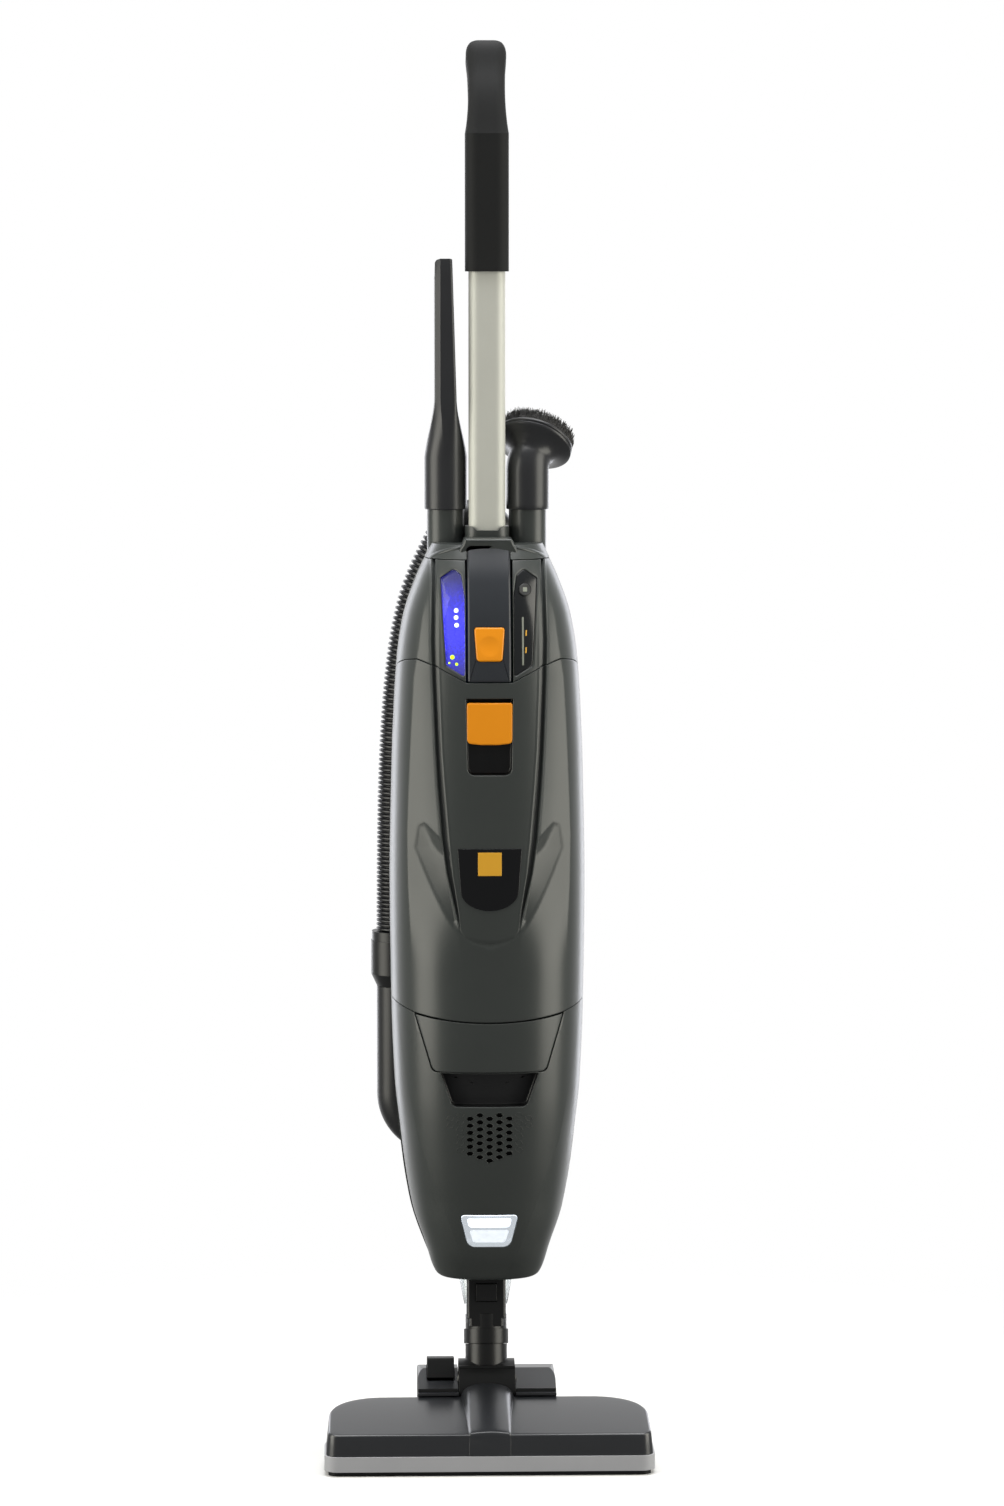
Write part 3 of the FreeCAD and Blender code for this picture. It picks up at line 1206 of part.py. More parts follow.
# Rooms behind the lower seam in which the door's hooks swing
def hook_rooms(z0, z1):
    rooms = []
    half = DOOR_HOOK_WIDTH / 2 + 1
    for x in (-DOOR_HOOK_X, DOOR_HOOK_X):
        rooms.append(box(x - half, x + half, -FAR, 0, z0, z1).cut(body_form(DOOR_HOOK_ROOM, z0 - 5, z1 + 5)))
    return rooms


# Seal around the bag's room, with a notch for each of the door's hooks
def door_seal():
    z0 = BAG_DECK + DECK_THICK + SEAT
    z1 = HEAD_DECK - SEAT
    outside = body_form(WALL + GAP, z0 - 5, z1 + 5)
    inside = body_form(DOOR_HOOK_ROOM + 3, z0 - 7, z1 + 7)
    loop = outside.cut(inside).common(in_front(PARTING_Y + GAP / 2 - SEAT)).common(band(z0, z1))
    opening = box(-FAR, FAR, -FAR, PARTING_Y - 4, z0 + 4, z1 - 4)
    half = LATCH_RECESS_HALF + 2 + SEAT
    pocket_room = box(-half, half, -FAR, 0, LATCH_RECESS_BOTTOM - 3, LATCH_RECESS_TOP + 2 + SEAT)
    return loop.cut([opening, pocket_room] + hook_rooms(z0 - 1, z0 + 5))


# Dust bag, filters

def dust_bag():
    back = BODY_BACK - WALL - BAG_PLATE_THICK - 3 - 2 * SEAT

    def pillow(inset):
        depth = back - BAG_FRONT - 2 * inset
        bag = rounded_bar(2 * BAG_HALF - 2 * inset, depth, 22 - inset, 0, (back + BAG_FRONT) / 2,
                          BAG_BOTTOM + inset, BAG_TOP - inset)
        edges = [e for e in bag.Edges if abs(e.BoundBox.ZMax - e.BoundBox.ZMin) < 0.01]
        return bag.makeFillet(14 - inset, edges)

    way, start, centre, end = elbow_places()
    mouth = cyl(BAG_MOUTH_R - 3, 20, V(end.x, back - 10, PORT_BOTTOM + 3 + BAG_MOUTH_R), V(0, 1, 0))
    return pillow(0).cut(pillow(BAG_PAPER)).cut(mouth)


def bag_plate():
    way, start, centre, end = elbow_places()
    back = BODY_BACK - WALL - SEAT
    z = PORT_BOTTOM + 3 + BAG_MOUTH_R
    half = BAG_PLATE_HALF
    plate = box(end.x - half, end.x + half, back - BAG_PLATE_THICK, back, z - half + 4, z + half - 4)
    rim = ring(BAG_MOUTH_R, BAG_MOUTH_R - 3, 3.0, V(end.x, back - BAG_PLATE_THICK - 3, z), V(0, 1, 0))
    hole = cyl(BAG_MOUTH_R - 3, 20, V(end.x, back - 10, z), V(0, 1, 0))
    plate = plate.common(body_form(WALL + SEAT, z - half, z + half))
    return join([plate, rim]).cut(hole)


def motor_filter():
    z = BAG_DECK + DECK_THICK + SEAT
    return rounded_bar(2 * MOTOR_FILTER_HALF, 1.5 * MOTOR_FILTER_HALF, 8, 0, MOTOR_Y, z, z + MOTOR_FILTER_THICK)


# Suction motor

def motor_point(z):
    return V(0, MOTOR_Y, z)


def fan_housing():
    drum = cyl(FAN_R, FAN_TOP - FAN_BOTTOM, motor_point(FAN_BOTTOM))
    room = cyl(FAN_R - 1.5, FAN_TOP - FAN_BOTTOM - 3, motor_point(FAN_BOTTOM + 1.5))
    inlet = cyl(FAN_INLET_R, 10, motor_point(FAN_TOP - 5))
    base = cyl(BEARING_R + 4, 10, motor_point(FAN_BOTTOM - 5))
    vents = [cyl(4, 10, motor_point(FAN_BOTTOM - 5) + V(30 * math.cos(a), 30 * math.sin(a), 0))
             for a in (math.pi * k / 4 for k in range(8))]
    return drum.cut([room, inlet, base] + vents)


def impeller():
    low = FAN_BOTTOM + 6
    high = FAN_TOP - 6
    base = cyl(IMPELLER_R, 1.5, motor_point(low))
    top = ring(IMPELLER_R, FAN_INLET_R + 1, 1.5, motor_point(high - 1.5))
    hub = cyl(9, high - low, motor_point(low))
    blades = []
    for i in range(BLADES):
        blade = box(FAN_INLET_R + 2, IMPELLER_R - 1, -0.8, 0.8, low + 1, high - 1)
        blade.rotate(V(FAN_INLET_R + 2, 0, 0), V(0, 0, 1), 28)
        blade.rotate(V(0, 0, 0), V(0, 0, 1), 360.0 * i / BLADES)
        blade.translate(V(0, MOTOR_Y, 0))
        blades.append(blade.common(cyl(IMPELLER_R - 0.5, high - low, motor_point(low))))
    return join([base, top, hub] + blades).cut(cyl(SHAFT_R, high - low, motor_point(low)))


def motor_casing():
    drum = cyl(MOTOR_R, FAN_BOTTOM - MOTOR_BOTTOM, motor_point(MOTOR_BOTTOM))
    room = cyl(MOTOR_R - MOTOR_WALL, FAN_BOTTOM - MOTOR_BOTTOM - 2 * MOTOR_WALL - 10,
               motor_point(MOTOR_BOTTOM + MOTOR_WALL + 7))
    seats = [cyl(BEARING_R, BEARING_WIDTH + 0.5, motor_point(MOTOR_BOTTOM + 2)),
             cyl(BEARING_R, BEARING_WIDTH + 0.5, motor_point(FAN_BOTTOM - 2 - BEARING_WIDTH - 0.5))]
    shaft_hole = cyl(SHAFT_R + 1.5, FAN_BOTTOM, motor_point(MOTOR_BOTTOM - 1))
    windows = []
    for k in range(4):
        angle = math.pi / 4 + math.pi * k / 2
        spot = motor_point(MOTOR_BOTTOM + 40)
        windows.append(cyl(9, MOTOR_R + 5, spot, V(math.cos(angle), math.sin(angle), 0)))
    return drum.cut([room, shaft_hole] + seats + windows)


def motor_bearings():
    return Part.makeCompound([ring(BEARING_R - 0.02, SHAFT_R + 0.03, BEARING_WIDTH, motor_point(z))
                              for z in (MOTOR_BOTTOM + 2.2, FAN_BOTTOM - 2.2 - BEARING_WIDTH)])


def stator():
    low = MOTOR_BOTTOM + 26
    high = FAN_BOTTOM - 24
    ring_shape = ring(MOTOR_R - MOTOR_WALL - 0.02, STATOR_R - 6, high - low, motor_point(low))
    poles = []
    for side_sign in (-1, 1):
        block = box(-12, 12, 0, STATOR_R - 4, low, high)
        if side_sign < 0:
            block.rotate(V(0, 0, 0), V(0, 0, 1), 180)
        block.translate(V(0, MOTOR_Y, 0))
        poles.append(block.cut(cyl(ARMATURE_R + AIR_GAP, FAN_BOTTOM, motor_point(0))))
    return join([ring_shape] + poles)


def armature():
    shaft = cyl(SHAFT_R, FAN_TOP - 5 - MOTOR_BOTTOM - 3, motor_point(MOTOR_BOTTOM + 3))
    core = cyl(ARMATURE_R, FAN_BOTTOM - MOTOR_BOTTOM - 52, motor_point(MOTOR_BOTTOM + 27))
    commutator = cyl(11, 9, motor_point(MOTOR_BOTTOM + 14))
    return join([shaft, core, commutator])


def motor_mounts():
    low = ring(MOTOR_R - 2, MOTOR_R - 10, MOTOR_BOTTOM - MOTOR_DECK - DECK_THICK - 2 * SEAT,
               motor_point(MOTOR_DECK + DECK_THICK + SEAT))
    high = ring(FAN_R - 10, FAN_INLET_R + 3, FAN_DECK - FAN_TOP - 2 * SEAT, motor_point(FAN_TOP + SEAT))
    return Part.makeCompound([low, high])


# Head

def head_skin(inset_out, inset_in):
    outside = body_form(inset_out, UPPER_FORM_BOTTOM, BODY_TOP)
    return outside.cut(body_form(inset_in, UPPER_FORM_BOTTOM - 5, BODY_TOP + 5))


def panel_outline(spare):
    half = PANEL_HALF + spare
    return [(-half, UPPER_SEAM[0][1] - 20), (half, UPPER_SEAM[0][1] - 20), (half, PANEL_TOP + spare),
            (-half, PANEL_TOP + spare)]


def power_outline(spare):
    return [(-POWER_BOTTOM_HALF - spare, POWER_BOTTOM - spare), (POWER_BOTTOM_HALF + spare, POWER_BOTTOM - spare),
            (POWER_TOP_HALF + spare, POWER_TOP + spare), (-POWER_TOP_HALF - spare, POWER_TOP + spare)]


def grown(points, spare):
    middle_x = sum(p[0] for p in points) / len(points)
    middle_z = sum(p[1] for p in points) / len(points)
    return [(x + spare * math.copysign(1, x - middle_x), z + spare * math.copysign(1, z - middle_z))
            for x, z in points]


def head_cover():
    shell = HEAD_SHELL.cut(BELOW_HEAD).common(band(0, HEAD_SEAM_Z - GAP / 2))
    panel_room = prism_xz(panel_outline(GAP / 2), 0, -FAR, -TUBE_DEPTH / 2 - 6)
    right = prism_xz(WINDOW, 1.2, -FAR, -15)
    left = prism_xz(mirror_x(WINDOW), 1.2, -FAR, -15)
    web_low = POWER_TOP + 6
    web_high = HEAD_SEAM_Z - GAP
    depth = WALL - PANEL_PROUD + SEAT
    web = head_skin(depth, depth + 2)
    web = web.common(box(-PANEL_HALF - 2, PANEL_HALF + 2, -FAR, -25, web_low, web_high))
    return shell.cut([panel_room, right, left]).fuse(web)


def control_panel():
    skin = head_skin(-PANEL_PROUD, WALL - PANEL_PROUD)
    panel = skin.common(prism_xz(panel_outline(-GAP / 2), 0, -FAR, -TUBE_DEPTH / 2 - 6))
    panel = panel.common(band(UPPER_SEAM[0][1] + GAP, PANEL_TOP))
    return panel.cut(prism_xz(power_outline(0.3), 3, -FAR, 0))


def head_window(points):
    skin = head_skin(0.5, WALL - 0.3)
    return skin.common(prism_xz(grown(points, -GAP / 2), 1.0, -FAR, -15))


def display_window():
    hole = cyl(ROUND_BUTTON_R + 0.2, FAR, V(ROUND_BUTTON_X, -FAR, ROUND_BUTTON_Z), V(0, 1, 0))
    return head_window(WINDOW).cut(hole)


def round_button():
    y = front_y(ROUND_BUTTON_X, ROUND_BUTTON_Z)
    return cyl(ROUND_BUTTON_R, 9.0, V(ROUND_BUTTON_X, y - 0.8, ROUND_BUTTON_Z), V(0, 1, 0))


def power_button():
    cap = head_skin(-PANEL_PROUD - 0.6, 8.0).common(prism_xz(power_outline(0), 2.7, -FAR, -40))
    return cap


BOARD_Y = -44.0


def control_board():
    board = box(-32, 32, BOARD_Y, BOARD_Y + 1.6, HEAD_DECK + DECK_THICK + SEAT, 762)
    lamps = [cyl(2.4, 6, V(-27.5, BOARD_Y - 6, z), V(0, 1, 0)) for z in (723.6, 730.0, 736.4)]
    button_z = ROUND_BUTTON_Z
    micro = box(ROUND_BUTTON_X - 4, ROUND_BUTTON_X + 1.5, BOARD_Y - 3, BOARD_Y, button_z - 4, button_z + 4)
    return join([board, micro] + lamps)


def power_switch():
    z = (POWER_TOP + POWER_BOTTOM) / 2
    back = front_y(0, z) + 8.0
    body = box(-9, 9, back + 6, BOARD_Y - SEAT, z - 11, z + 11)
    plunger = box(-3, 3, back + POWER_TRAVEL + POWER_PLAY, back + 6, z - 3, z + 3)
    return join([body, plunger])


def tool_holder():
    cap = HEAD_FORM.common(band(HEAD_SEAM_Z + GAP / 2, BODY_TOP + 1))
    hollow = body_form(WALL, HEAD_SEAM_Z - 20, BODY_TOP - WALL).common(band(0, BODY_TOP - WALL))
    posts = [cyl(POST_R, POST_TOP - HEAD_SEAM_Z - GAP, V(x, POST_Y, HEAD_SEAM_Z + GAP)) for x in (-POST_X, POST_X)]
    post_rooms = [cyl(POST_R - WALL, POST_TOP, V(x, POST_Y, 0)).common(band(0, POST_TOP - WALL))
                  for x in (-POST_X, POST_X)]
    collar = rounded_bar(TUBE_WIDTH + 2 * COLLAR_WALL, TUBE_DEPTH + 2 * COLLAR_WALL, TUBE_CORNER + COLLAR_WALL,
                         0, 0, TUBE_BOTTOM + 6, COLLAR_TOP)
    notch = prism_xz([(-9, COLLAR_TOP - COLLAR_NOTCH), (9, COLLAR_TOP - COLLAR_NOTCH), (14, COLLAR_TOP + 1),
                      (-14, COLLAR_TOP + 1)], 0, -FAR, -4)
    tube_room = rounded_bar(TUBE_WIDTH + 0.1, TUBE_DEPTH + 0.1, TUBE_CORNER, 0, 0, TUBE_BOTTOM, COLLAR_TOP + 1)
    panel_room = prism_xz(panel_outline(GAP / 2), 0, -FAR, -TUBE_DEPTH / 2 - 6)
    return join([cap.cut(hollow), collar] + posts).cut(post_rooms + [notch, tube_room, panel_room])


# Handle

def handle_tube():
    outside = rounded_bar(TUBE_WIDTH, TUBE_DEPTH, TUBE_CORNER, 0, 0, TUBE_BOTTOM, TUBE_TOP)
    inside = rounded_bar(TUBE_WIDTH - 2 * TUBE_WALL, TUBE_DEPTH - 2 * TUBE_WALL, TUBE_CORNER - TUBE_WALL, 0, 0,
                         TUBE_BOTTOM, TUBE_TOP)
    return outside.cut(inside)


def grip_section(share, width, depth):
    lean_now = GRIP_LEAN * min(1.0, share / 0.36)
    corner = min(width, depth) * 0.34
    wire = outline(rectangle(width / 2, -depth / 2, depth / 2), corner, in_xy(0))
    distance = share * GRIP_LENGTH
    wire.rotate(V(0, 0, 0), V(1, 0, 0), -lean_now)
    way = math.radians(GRIP_LEAN * 0.62)
    bend = V(0, math.sin(way), math.cos(way)) * min(distance, 0.36 * GRIP_LENGTH)
    rest = max(0.0, distance - 0.36 * GRIP_LENGTH)
    full = math.radians(GRIP_LEAN)
    bend = bend + V(0, math.sin(full), math.cos(full)) * rest
    wire.translate(V(0, 0, SLEEVE_TOP) + bend)
    return wire


def handle_grip():
    sleeve = rounded_bar(SLEEVE_WIDTH, SLEEVE_DEPTH, SLEEVE_CORNER, 0, 0, SLEEVE_BOTTOM, SLEEVE_TOP)
    grip = Part.makeLoft([grip_section(*section) for section in GRIP_SECTIONS], True, False)
    tube_room = rounded_bar(TUBE_WIDTH + 0.1, TUBE_DEPTH + 0.1, TUBE_CORNER, 0, 0, SLEEVE_BOTTOM - 1, TUBE_TOP + 1)
    screw_room = cyl(SCREW_R + 0.1, 10, V(0, SLEEVE_DEPTH / 2 - 3.0, SLEEVE_BOTTOM + 12), V(0, 1, 0))
    hook_pin = cyl(HOOK_PIN_R + RUNNING, 5, V(0, TUBE_DEPTH / 2 + 0.5, UPPER_HOOK_Z), V(0, 1, 0))
    return join([sleeve, grip]).cut([tube_room, screw_room, hook_pin])


HOOK_PIN_R = 5.0


# Hook that opens upwards at its base's height; its base lies on the face at y
def cable_hook(x, y, z, way):
    half = HOOK_WIDTH / 2
    base = cyl(HOOK_BASE_R, 4.0, V(x, y, z), V(0, 1, 0))
    arm = box(x - half, x + half, y, y + HOOK_REACH, z - HOOK_THICK / 2, z + HOOK_THICK / 2)
    tip_low = z - HOOK_THICK / 2 if way > 0 else z + HOOK_THICK / 2 - HOOK_RISE
    tip = box(x - half, x + half, y + HOOK_REACH - HOOK_THICK, y + HOOK_REACH, tip_low, tip_low + HOOK_RISE)
    return join([base, arm, tip])


def cable_hook_upper():
    y = SLEEVE_DEPTH / 2 + 0.3
    pin = cyl(HOOK_PIN_R, 2.5, V(0, y - 2.5, UPPER_HOOK_Z), V(0, 1, 0))
    return join([cable_hook(0, y, UPPER_HOOK_Z, 1), pin])


def cable_hook_lower():
    pin = cyl(3.98, 8, V(LOWER_HOOK_X, BODY_BACK - 6, LOWER_HOOK_Z), V(0, 1, 0))
    return join([cable_hook(LOWER_HOOK_X, BODY_BACK + 0.05, LOWER_HOOK_Z, -1), pin])


def cable_gland():
    flange = cyl(GLAND_R, 3, V(GLAND_X, BODY_BACK + 0.05, GLAND_Z), V(0, 1, 0))
    stem = cyl(GLAND_R - 2.1, 8, V(GLAND_X, BODY_BACK - 7.9, GLAND_Z), V(0, 1, 0))
    boot = cone(GLAND_R - 1, GLAND_R - 3.5, GLAND_LENGTH, V(GLAND_X, BODY_BACK + 3, GLAND_Z), V(0, 1, 0))
    bore = cyl(3.6, 60, V(GLAND_X, BODY_BACK - 20, GLAND_Z), V(0, 1, 0))
    return join([flange, stem, boot]).cut(bore)


# Tools

def flat_section(thick, depth, centre):
    corner = min(thick, depth) * 0.42
    return outline([(centre.x - thick / 2, centre.y - depth / 2), (centre.x + thick / 2, centre.y - depth / 2),
                    (centre.x + thick / 2, centre.y + depth / 2), (centre.x - thick / 2, centre.y + depth / 2)],
                   corner, in_xy(centre.z))


def crevice_body(inset):
    x = -POST_X
    flat_x = x - CREVICE_SHIFT
    low = flat_section(2 * TOOL_R - 2 * inset, 2 * TOOL_R - 2 * inset, V(x, POST_Y, CREVICE_SHOULDER))
    neck = flat_section(CREVICE_THICK + 2 - 2 * inset, CREVICE_DEPTH - 2 * inset, V(flat_x, POST_Y, CREVICE_NECK))
    top = flat_section(CREVICE_THICK - 2 * inset, CREVICE_DEPTH - 2 * inset, V(flat_x, POST_Y, CREVICE_TOP))
    taper = Part.makeLoft([low, neck], True, True)
    blade = Part.makeLoft([neck, top], True, True)
    return [taper, blade]


def crevice_tool():
    x = -POST_X
    barrel = cyl(TOOL_R, CREVICE_SHOULDER - TOOL_RIM, V(x, POST_Y, TOOL_RIM))
    outside = join([barrel] + crevice_body(0))
    socket = cyl(POST_R + 0.2, SOCKET_DEPTH, V(x, POST_Y, TOOL_RIM))
    bore = cyl(POST_R - 1.0, CREVICE_SHOULDER - TOOL_RIM, V(x, POST_Y, TOOL_RIM))
    front = POST_Y - CREVICE_DEPTH / 2
    back = POST_Y + CREVICE_DEPTH / 2
    cut_angle = prism_yz([(front - 5, CREVICE_TOP), (front + 4, CREVICE_TOP), (back + 5, CREVICE_TOP - 24),
                          (back + 5, CREVICE_TOP + 20), (front - 5, CREVICE_TOP + 20)], 0, -FAR, 0)
    cut_corner = prism_xz([(x - 30, CREVICE_TOP + 5), (x - 30, CREVICE_TOP - 12), (x - 10, CREVICE_TOP - 4),
                           (x - 5, CREVICE_TOP + 5)], 0, -FAR, FAR)
    return outside.cut([socket, bore, cut_angle, cut_corner] + crevice_body(CREVICE_WALL))


BRUSH_AXIS = V(BRUSH_FACING).normalize()


# Line from the socket's foot up and round the knee, and the point where it ends
def brush_line():
    foot = V(POST_X, POST_Y, TOOL_RIM)
    knee = V(POST_X, POST_Y, BRUSH_KNEE)
    side = V(BRUSH_AXIS.x, BRUSH_AXIS.y, 0).normalize()
    turn = V(0, 0, 1).getAngle(BRUSH_AXIS)

    def on_arc(angle):
        rise = V(0, 0, BRUSH_KNEE_R * math.sin(angle))
        return knee + rise + side * (BRUSH_KNEE_R * (1 - math.cos(angle)))

    end = on_arc(turn)
    arc = Part.Arc(knee, on_arc(turn / 2), end).toShape()
    return Part.Wire([Part.LineSegment(foot, knee).toShape(), arc]), foot, end


def dusting_brush():
    path, foot, end = brush_line()
    rim_start = end + BRUSH_AXIS * BRUSH_BELL
    step = 1.0
    low = end - BRUSH_AXIS * step
    bell = cone(TOOL_R + 0.4, BRUSH_R - 1.5, BRUSH_BELL + step, low, BRUSH_AXIS)
    rim = cyl(BRUSH_R, BRUSH_RIM_THICK, rim_start, BRUSH_AXIS)
    head = sweep(path, TOOL_R, foot, V(0, 0, 1)).fuse(bell).fuse(rim)
    bore_r = POST_R - 1.0
    inside = [cyl(POST_R + 0.2, SOCKET_DEPTH, foot), sweep(path, bore_r, foot, V(0, 0, 1)),
              cone(bore_r - 0.2, BRUSH_R - 8, BRUSH_BELL + step, low, BRUSH_AXIS),
              cyl(BRUSH_R - 7.8, BRUSH_RIM_THICK + 1, rim_start - BRUSH_AXIS * 0.2, BRUSH_AXIS),
              ring(BRUSH_R + 1, BRUSH_R - 1, 1.6, rim_start + BRUSH_AXIS * 2.2, BRUSH_AXIS)]
    for hollow in inside:
        head = head.cut(hollow)
    return head


def dusting_bristles():
    path, foot, end = brush_line()
    start = end + BRUSH_AXIS * (BRUSH_BELL + BRUSH_RIM_THICK)
    return ring(BRUSH_R - 1.0, BRUSH_R - 7.0, BRISTLE_LENGTH, start, BRUSH_AXIS)


PIECES = {
    "nozzle_hood": nozzle_hood,
    "nozzle_bumper": nozzle_bumper,
    "sole_plate": sole_plate,
    "intake_channel": intake_channel,
    "hinge_saddle": hinge_saddle,
    "wheel_carrier": wheel_carrier,
    "wheel_axles": wheel_axles,
    "rear_wheel_left": lambda: rear_wheel(-1),
    "rear_wheel_right": lambda: rear_wheel(1),
    "nozzle_pedal": nozzle_pedal,
    "brush_carriage": brush_carriage,
    "brush_strips": brush_strips,
    "knuckle": knuckle,
    "swivel_collar": swivel_collar,
    "neck_pipe": neck_pipe,
    "neck_latch": neck_latch,
    "clear_elbow": clear_elbow,
    "lower_duct": lower_duct,
    "hose_cuff": hose_cuff,
    "stretch_hose": stretch_hose,
    "hose_elbow": hose_elbow,
    "rear_housing": rear_housing,
    "housing_screws": housing_screws,
    "motor_housing": motor_housing,
    "exhaust_filter_cover": exhaust_filter_cover,
    "exhaust_filter": exhaust_filter,
    "headlight_lens": headlight_lens,
    "headlight_board": headlight_board,
    "bag_door": bag_door,
    "door_latch": door_latch,
    "badge_plate": badge_plate,
    "door_seal": door_seal,
    "dust_bag": dust_bag,
    "bag_plate": bag_plate,
    "motor_filter": motor_filter,
    "fan_housing": fan_housing,
    "impeller": impeller,
    "motor_casing": motor_casing,
    "motor_bearings": motor_bearings,
    "stator": stator,
    "armature": armature,
    "motor_mounts": motor_mounts,
    "head_cover": head_cover,
    "control_panel": control_panel,
    "light_window": lambda: head_window(mirror_x(WINDOW)),
    "display_window": display_window,
    "round_button": round_button,
    "power_button": power_button,
    "power_switch": power_switch,
    "control_board": control_board,
    "tool_holder": tool_holder,
    "handle_tube": handle_tube,
    "handle_grip": handle_grip,
    "cable_hook_upper": cable_hook_upper,
    "cable_hook_lower": cable_hook_lower,
    "cable_gland": cable_gland,
    "crevice_tool": crevice_tool,
    "dusting_brush": dusting_brush,
    "dusting_bristles": dusting_bristles,
}

for name, make in PIECES.items():
    shape = make()
    print(name, "solids", len(shape.Solids), "valid", shape.isValid(), "volume", round(shape.Volume))
    save(name, shape)
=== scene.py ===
import json
import math
import bmesh
import bpy
import numpy as np
from mathutils import Matrix, Vector

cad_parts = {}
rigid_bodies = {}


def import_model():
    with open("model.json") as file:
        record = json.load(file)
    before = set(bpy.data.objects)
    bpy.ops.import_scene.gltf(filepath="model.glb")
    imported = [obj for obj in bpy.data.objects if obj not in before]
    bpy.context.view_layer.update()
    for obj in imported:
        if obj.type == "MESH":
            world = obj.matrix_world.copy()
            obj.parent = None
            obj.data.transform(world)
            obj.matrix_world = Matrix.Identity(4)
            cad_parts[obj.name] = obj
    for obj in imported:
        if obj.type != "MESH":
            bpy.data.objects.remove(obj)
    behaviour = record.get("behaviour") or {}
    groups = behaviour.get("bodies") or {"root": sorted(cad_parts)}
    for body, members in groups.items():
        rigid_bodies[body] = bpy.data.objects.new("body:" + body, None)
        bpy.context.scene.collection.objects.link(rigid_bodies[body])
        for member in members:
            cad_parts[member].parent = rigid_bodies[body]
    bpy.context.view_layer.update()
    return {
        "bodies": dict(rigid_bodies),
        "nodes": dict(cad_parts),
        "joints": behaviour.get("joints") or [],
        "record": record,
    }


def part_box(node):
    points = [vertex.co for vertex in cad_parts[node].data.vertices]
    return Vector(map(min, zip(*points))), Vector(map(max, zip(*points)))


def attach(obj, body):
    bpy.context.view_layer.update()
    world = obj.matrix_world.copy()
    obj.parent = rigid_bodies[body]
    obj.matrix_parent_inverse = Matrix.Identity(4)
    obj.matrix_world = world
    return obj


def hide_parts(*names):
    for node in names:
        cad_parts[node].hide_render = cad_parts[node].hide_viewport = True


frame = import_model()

mm = 0.001  # the lists below are in millimetres, every mesh is in metres
madePieces = []


# Small helpers


def linearColour(code):
    parts = [int(code[i:i + 2], 16) / 255 for i in (1, 3, 5)]
    return tuple(c / 12.92 if c <= 0.04045 else ((c + 0.055) / 1.055) ** 2.4 for c in parts) + (1.0,)


def setInputs(node, values):
    for name, value in values.items():
        node.inputs[name].default_value = value


# A kind is named without its ShaderNode, GeometryNode or FunctionNode. A link takes a node's first output
def addNode(tree, kind, links=None, values=None, **settings):
    names = (family + kind for family in ("ShaderNode", "GeometryNode", "FunctionNode", ""))
    node = tree.nodes.new(next(name for name in names if hasattr(bpy.types, name)))
    for name, value in settings.items():
        setattr(node, name, value)
    setInputs(node, values or {})
    for name, source in (links or {}).items():
        tree.links.new(source.outputs[0] if isinstance(source, bpy.types.Node) else source, node.inputs[name])
    return node


def mapRange(fromMin, fromMax, toMin, toMax):
    return {"From Min": fromMin, "From Max": fromMax, "To Min": toMin, "To Max": toMax}


def addObject(name, data):
    made = bpy.data.objects.new(name, data)
    bpy.context.scene.collection.objects.link(made)
    return made


def meshObject(name, points, faces, scale=mm):
    mesh = bpy.data.meshes.new(name)
    mesh.from_pydata([tuple(c * scale for c in p) for p in points], [], faces)
    mesh.validate()
    return addObject(name, mesh)


def finishPiece(piece, body, slotName, replaces=(), finish=None, angle=35):
    piece.data.materials.clear()
    piece.data.materials.append(finishes[finish or slotName])
    piece.data.shade_smooth()
    piece.data.set_sharp_from_angle(angle=math.radians(angle))
    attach(piece, body)
    if replaces:
        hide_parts(*replaces)
    madePieces.append(piece.name)


def loft(rings, closedAcross=True, capStart=True, capEnd=True, closedAlong=False):
    count = len(rings[0])
    points = [tuple(p) for ring in rings for p in ring]
    faces = []
    rows = len(rings)
    for i in range(rows if closedAlong else rows - 1):
        low, high = i * count, (i + 1) % rows * count
        for j in range(count if closedAcross else count - 1):
            k = (j + 1) % count
            faces.append((low + j, low + k, high + k, high + j))
    if capStart and not closedAlong:
        faces.append(tuple(reversed(range(count))))
    if capEnd and not closedAlong:
        faces.append(tuple(range((rows - 1) * count, rows * count)))
    return points, faces


def joinParts(name, parts):
    points, faces = [], []
    for some, more in parts:
        start = len(points)
        points += some
        faces += [tuple(i + start for i in face) for face in more]
    return meshObject(name, points, faces)


def pointOutwards(piece):
    work = bmesh.new()
    work.from_mesh(piece.data)
    bmesh.ops.remove_doubles(work, verts=work.verts, dist=1e-7)
    bmesh.ops.recalc_face_normals(work, faces=work.faces)
    work.to_mesh(piece.data)
    work.free()
    return piece


# One closed solid, lofted through its rings
def solid(name, rings, **ends):
    return pointOutwards(joinParts(name, [loft(rings, **ends)]))


def applyModifiers(piece):
    view = bpy.context.evaluated_depsgraph_get()
    view.update()
    mesh = bpy.data.meshes.new_from_object(piece.evaluated_get(view), depsgraph=view)
    piece.modifiers.clear()
    if piece.type != "MESH":
        return addObject(piece.name + "Mesh", mesh)
    old, piece.data = piece.data, mesh
    bpy.data.meshes.remove(old)
    return piece


def combine(piece, others, operation="DIFFERENCE"):
    for other in others:
        pointOutwards(other)
        change = piece.modifiers.new("combine", "BOOLEAN")
        change.operation, change.solver, change.object = operation, "MANIFOLD", other
        applyModifiers(piece)
        bpy.data.objects.remove(other)


def radiansOf(*degrees):
    return [math.radians(t) for t in degrees]


def fullTurn(count):
    return [2 * math.pi * i / count for i in range(count)]


# Camera: 4.5 m in front, a little above the middle, as the photograph's perspective gives it

cameraSetup = {"distance": 4.5, "height": 1.042, "targetHeight": 0.609, "targetX": 0.0129, "turn": -1.7,
               "focalPixels": 5269.0, "sensor": 36.0, "imageHeight": 1506}


